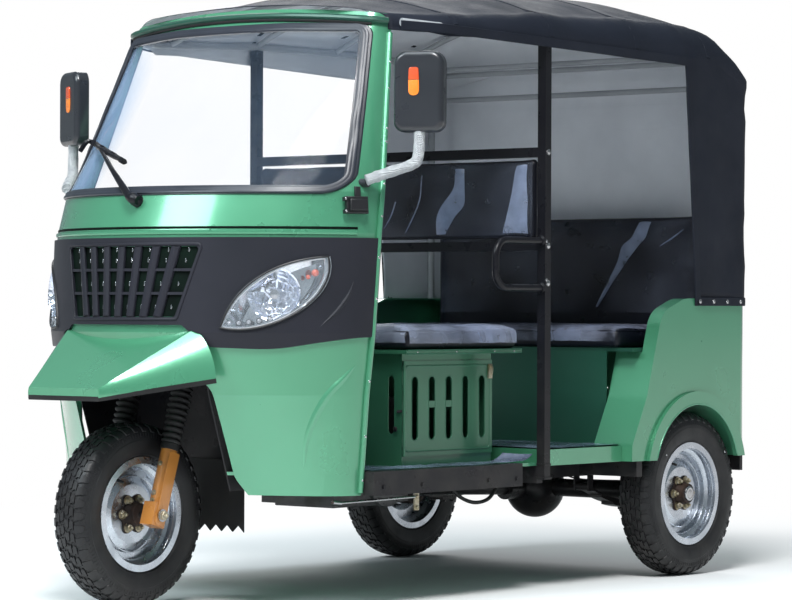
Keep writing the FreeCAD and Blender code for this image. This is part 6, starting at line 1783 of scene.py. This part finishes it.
def make_cabin_details():
    """Screws, cuffs and feet of the posts, and the trim of the seat box and its doors."""
    bolts = [bolt((0.6155, 0.209, z), (1, 0, 0), 0.0075, 0.004, 16) for z in (0.952, 1.068, 1.359)]
    bolts += [bolt((0.6155, 0.200, z + 0.012), (1, 0, 0), 0.0042, 0.003, 16) for z in (0.950, 1.070)]
    piece("post_screws", both(bolts), "steel")
    cuff = [(0.0, 0.0165), (0.004, 0.0165), (0.007, 0.0125), (0.007, 0.0112)]
    piece("handle_cuffs", both([turned(cuff, (0.600, 0.1945, z), (0, -1, 0), 20) for z in (0.937, 1.083)]),
          "black_paint")
    feet = [block((0.583, 0.190, 0.3425), (0.6185, 0.228, 0.350), 0.001),
            block((0.5835, 0.1925, 0.386), (0.6175, 0.2255, 0.392), 0.001)]
    piece("post_feet", both(feet), "black_paint")
    x = DOOR_PLANE
    pull = smooth_line([(x + 0.004, 0.122, 0.696), (x + 0.010, 0.124, 0.690), (x + 0.011, 0.121, 0.672),
                        (x + 0.006, 0.119, 0.660)])
    latch = [block((x - 0.001, 0.112, 0.655), (x + 0.0030, 0.132, 0.700), 0.0008), tube(pull, 0.0018, 6),
             dome((x + 0.002, 0.122, 0.694), (1, 0, 0), 0.0045, 0.004)]
    for side, label in ((1, "left"), (-1, "right")):
        piece("latch_" + label, latch if side > 0 else mirror(latch), "zinc", "box_door_" + label)
        ring = rounded_box((-0.292, 0.440), (0.122, 0.699), 0.012, 4)
        lines = [tube([(side * (x - 0.0012), p.x, p.y) for p in ring], 0.0022, 6, True)]
        for k in range(5):
            middle = HINGE_Y + DOOR_LENGTH * round(0.12 + 0.19 * k, 3)
            ring = rounded_box((middle - SLOT_HALF, SLOT_MIDDLE - SLOT_REACH),
                               (middle + SLOT_HALF, SLOT_MIDDLE + SLOT_REACH),
                               0.0155, 5)
            lines.append(tube([(side * (x - 0.0008), p.x, p.y) for p in ring], 0.0013, 6, True))
        # the door beads take the darker green of the seat box: painted shade
        piece("door_beads_" + label, lines, "green_inner", "box_door_" + label)
    knuckle = [(-0.022, 0), (-0.022, 0.0062), (0.022, 0.0062), (0.022, 0)]
    hinges = [turned(knuckle, (x, HINGE_Y, z), (0, 0, 1), 16) for z in (0.475, 0.569, 0.663)]
    # the hinge knuckles take the darker green: painted shade
    for label, parts in (("left", hinges), ("right", mirror(hinges))):
        piece("hinge_knuckles_" + label, parts, "green_inner", "box_door_" + label)
    # the tray edges take the darker green: painted shade
    edges = [tube([(0.4925, -0.330, z), (0.4925, 0.236, z)], 0.0022, 6) for z in (0.736, 0.746)]
    piece("tray_edges", both(edges), "green_inner")
    screws = [dome((0.4915, y, 0.741), (1, 0, 0), 0.0036, 0.002) for y in (-0.28, -0.09, 0.10, 0.20)]
    piece("tray_screws", both(screws), "steel")
    pipe = smooth_line([(0.442, -0.272, 0.540), (0.450, -0.285, 0.556), (0.449, -0.300, 0.562),
                        (0.437, -0.312, 0.560)], 6)
    piece("fuel_tap", [tube(pipe, 0.0045, 8), dome((0.430, -0.311, 0.508), (0, -1, 0), 0.008, 0.004)],
          "black_paint")


def make_engine_details():
    """Cooling fins, a gearbox bulge and covers on the plain engine block."""
    low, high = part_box("engine_block")
    fins = [block((low.x - 0.010, low.y + 0.030, z), (high.x + 0.010, low.y + 0.215, z + 0.004), 0.0012)
            for z in [0.405 + 0.0155 * k for k in range(11)]]
    piece("engine_fins", fins, "engine")
    covers = []
    for side in (1, -1):
        covers.append(turned([(0, 0.098), (0.010, 0.096), (0.016, 0.082), (0.018, 0.040), (0.019, 0)],
                             (side * (high.x - 0.001), high.y - 0.110, 0.345), (side, 0, 0), 40))
        covers += [bolt((side * (high.x + 0.009), high.y - 0.110 + a, 0.345 + b), (side, 0, 0), 0.0052,
                        0.0045)
                   for a, b in circle(7, 0.088)]
    sump = [block((low.x + 0.03, low.y + 0.03, low.z - 0.010), (high.x - 0.03, high.y - 0.03, low.z + 0.004),
                  0.004)]
    for i in range(4):
        for x in (low.x + 0.022, high.x - 0.022):
            sump.append(bolt((x, low.y + 0.05 + 0.085 * i, low.z + 0.001), (0, 0, -1), 0.006, 0.005))
    piece("engine_covers", covers + sump, "engine")
    head = [block((low.x + 0.02, low.y + 0.02, high.z - 0.002), (high.x - 0.02, low.y + 0.20, high.z + 0.014),
                  0.005)]
    piece("engine_head", head, "engine")


ARCH_CENTRE, ARCH_RADIUS = (0.966, 0.318), 0.2445


def make_rear_details():
    """Edging of the wheel arches, and screws, beads, latch, reflectors and rivets of the rear body."""
    edging = []
    for k in range(49):
        angle = math.radians(-12 + 204 * k / 48)
        z = ARCH_CENTRE[1] + ARCH_RADIUS * math.sin(angle)
        if z > 0.388:
            edging.append(Vector((0.6665, ARCH_CENTRE[0] + ARCH_RADIUS * math.cos(angle), z)))
    piece("arch_edging", both([tube(edging, 0.0032, 8)]), "green")
    screws = [dome((0.6562, y, 0.400), (1, 0, 0), 0.0036, 0.0024) for y in (0.72, 0.80, 1.14, 1.20)]
    piece("panel_screws", both(screws), "steel")
    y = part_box("rear_panel")[1].y
    beads = []
    for low, high, corner, steps, radius in (((-0.40, 0.455), (0.40, 0.860), 0.030, 6, 0.0045),
                                             ((-0.16, 0.545), (0.16, 0.655), 0.014, 5, 0.0028)):
        beads.append(tube([(p.x, y, p.y) for p in rounded_box(low, high, corner, steps)], radius, 8, True))
    piece("rear_panel_beads", beads, "green")
    hatch = [turned([(0, 0.019), (0.003, 0.0185), (0.004, 0.010), (0.0045, 0)], (0.0, y, 0.820), (0, 1, 0),
                    28),
             block((-0.014, y + 0.002, 0.816), (0.014, y + 0.007, 0.824), 0.0015)]
    piece("rear_latch", hatch, "steel")
    reflector = turned([(0, 0.026), (0.004, 0.0255), (0.006, 0.022), (0.0065, 0)], (0.542, y, 0.600),
                       (0, 1, 0), 32)
    # the red reflectors glow a little: painted light
    piece("rear_reflectors", both([reflector]), "red")
    rivets = [dome((-0.48 + 0.12 * i, y, z), (0, 1, 0), 0.0036, 0.0018) for i in range(9)
              for z in (0.892, 0.405)]
    piece("rear_panel_rivets", rivets, "steel")


AXLE_Y = 0.966


def make_underside():
    """Brake rod, lever and hose on the left rail, brake pipes along the axle, and bolts on the springs."""
    rod = [tube([(0.4285, -0.560, 0.296), (0.4285, -0.205, 0.300)], 0.0042, 8),
           tube([(0.4285, -0.600, 0.300), (0.4285, -0.560, 0.296)], 0.0065, 8)]
    piece("brake_rod", rod, "steel")
    lever = [block((0.4255, -0.216, 0.258), (0.4310, -0.196, 0.362), 0.002),
             bolt((0.4310, -0.206, 0.350), (1, 0, 0), 0.008, 0.006),
             bolt((0.4310, -0.206, 0.300), (1, 0, 0), 0.0065, 0.005),
             bolt((0.4310, -0.206, 0.268), (1, 0, 0), 0.0055, 0.005)]
    piece("brake_lever", lever, "zinc")
    hose = smooth_line([(0.405, -0.02, 0.330), (0.408, 0.03, 0.290), (0.410, 0.10, 0.268),
                        (0.410, 0.17, 0.274), (0.406, 0.22, 0.306),
                        (0.402, 0.245, 0.330)], 8)
    piece("brake_hose_loop", [tube(hose, 0.0060, 10)], "rubber")
    run = ((0.010, 0.930, 0.378), (0.110, 0.940, 0.345), (0.180, 0.950, 0.302), (0.42, 0.955, 0.3012),
           (0.49, 0.958, 0.300))
    pipes = [tube(smooth_line([(side * x, y, z) for x, y, z in run], 6), 0.0028, 6) for side in (1, -1)]
    piece("axle_brake_pipes", pipes, "black_paint")
    clamps = []
    for side in (1, -1):
        for y in (AXLE_Y - 0.024, AXLE_Y + 0.024):
            for x in (side * 0.4 - 0.022, side * 0.4 + 0.022):
                clamps.append(tube([(x, y, 0.206), (x, y, 0.262)], 0.0045, 8))
                clamps.append(bolt((x, y, 0.2075), (0, 0, -1), 0.0085, 0.007))
    piece("spring_clamps", clamps, "black_paint")
    cover = [bolt((0.062, AXLE_Y + a, 0.268 + b), (1, 0, 0), 0.006, 0.008) for a, b in circle(10, 0.072)]
    piece("differential_bolts", cover, "black_paint")
    caps = [bolt((side * 0.6252, y, 0.352), (side, 0, 0), 0.0065, 0.0045)
            for side in (1, -1) for y in (-0.60, -0.42, -0.10, 0.04)]
    piece("sill_bolts", caps, "black_paint")


# ---------------------------------------------------------------------------
# Build everything
# ---------------------------------------------------------------------------

make_world()
make_lamps()
make_camera()
make_floor()
dress_nodes()
make_wheels()
canopy_sheet = make_canopy()
make_canopy_trim(canopy_sheet)
seats = make_cushions()
make_piping(seats)
make_films(seats)
make_mats()
make_cab_trim()
make_mask_details()
make_mudguard_edge()
make_headlamps()
make_tail_lamps()
make_mirror_details()
make_cowl_fittings()
make_wiper()
make_fork_details()
make_handlebar_details()
make_cabin_details()
make_engine_details()
make_rear_details()
make_underside()
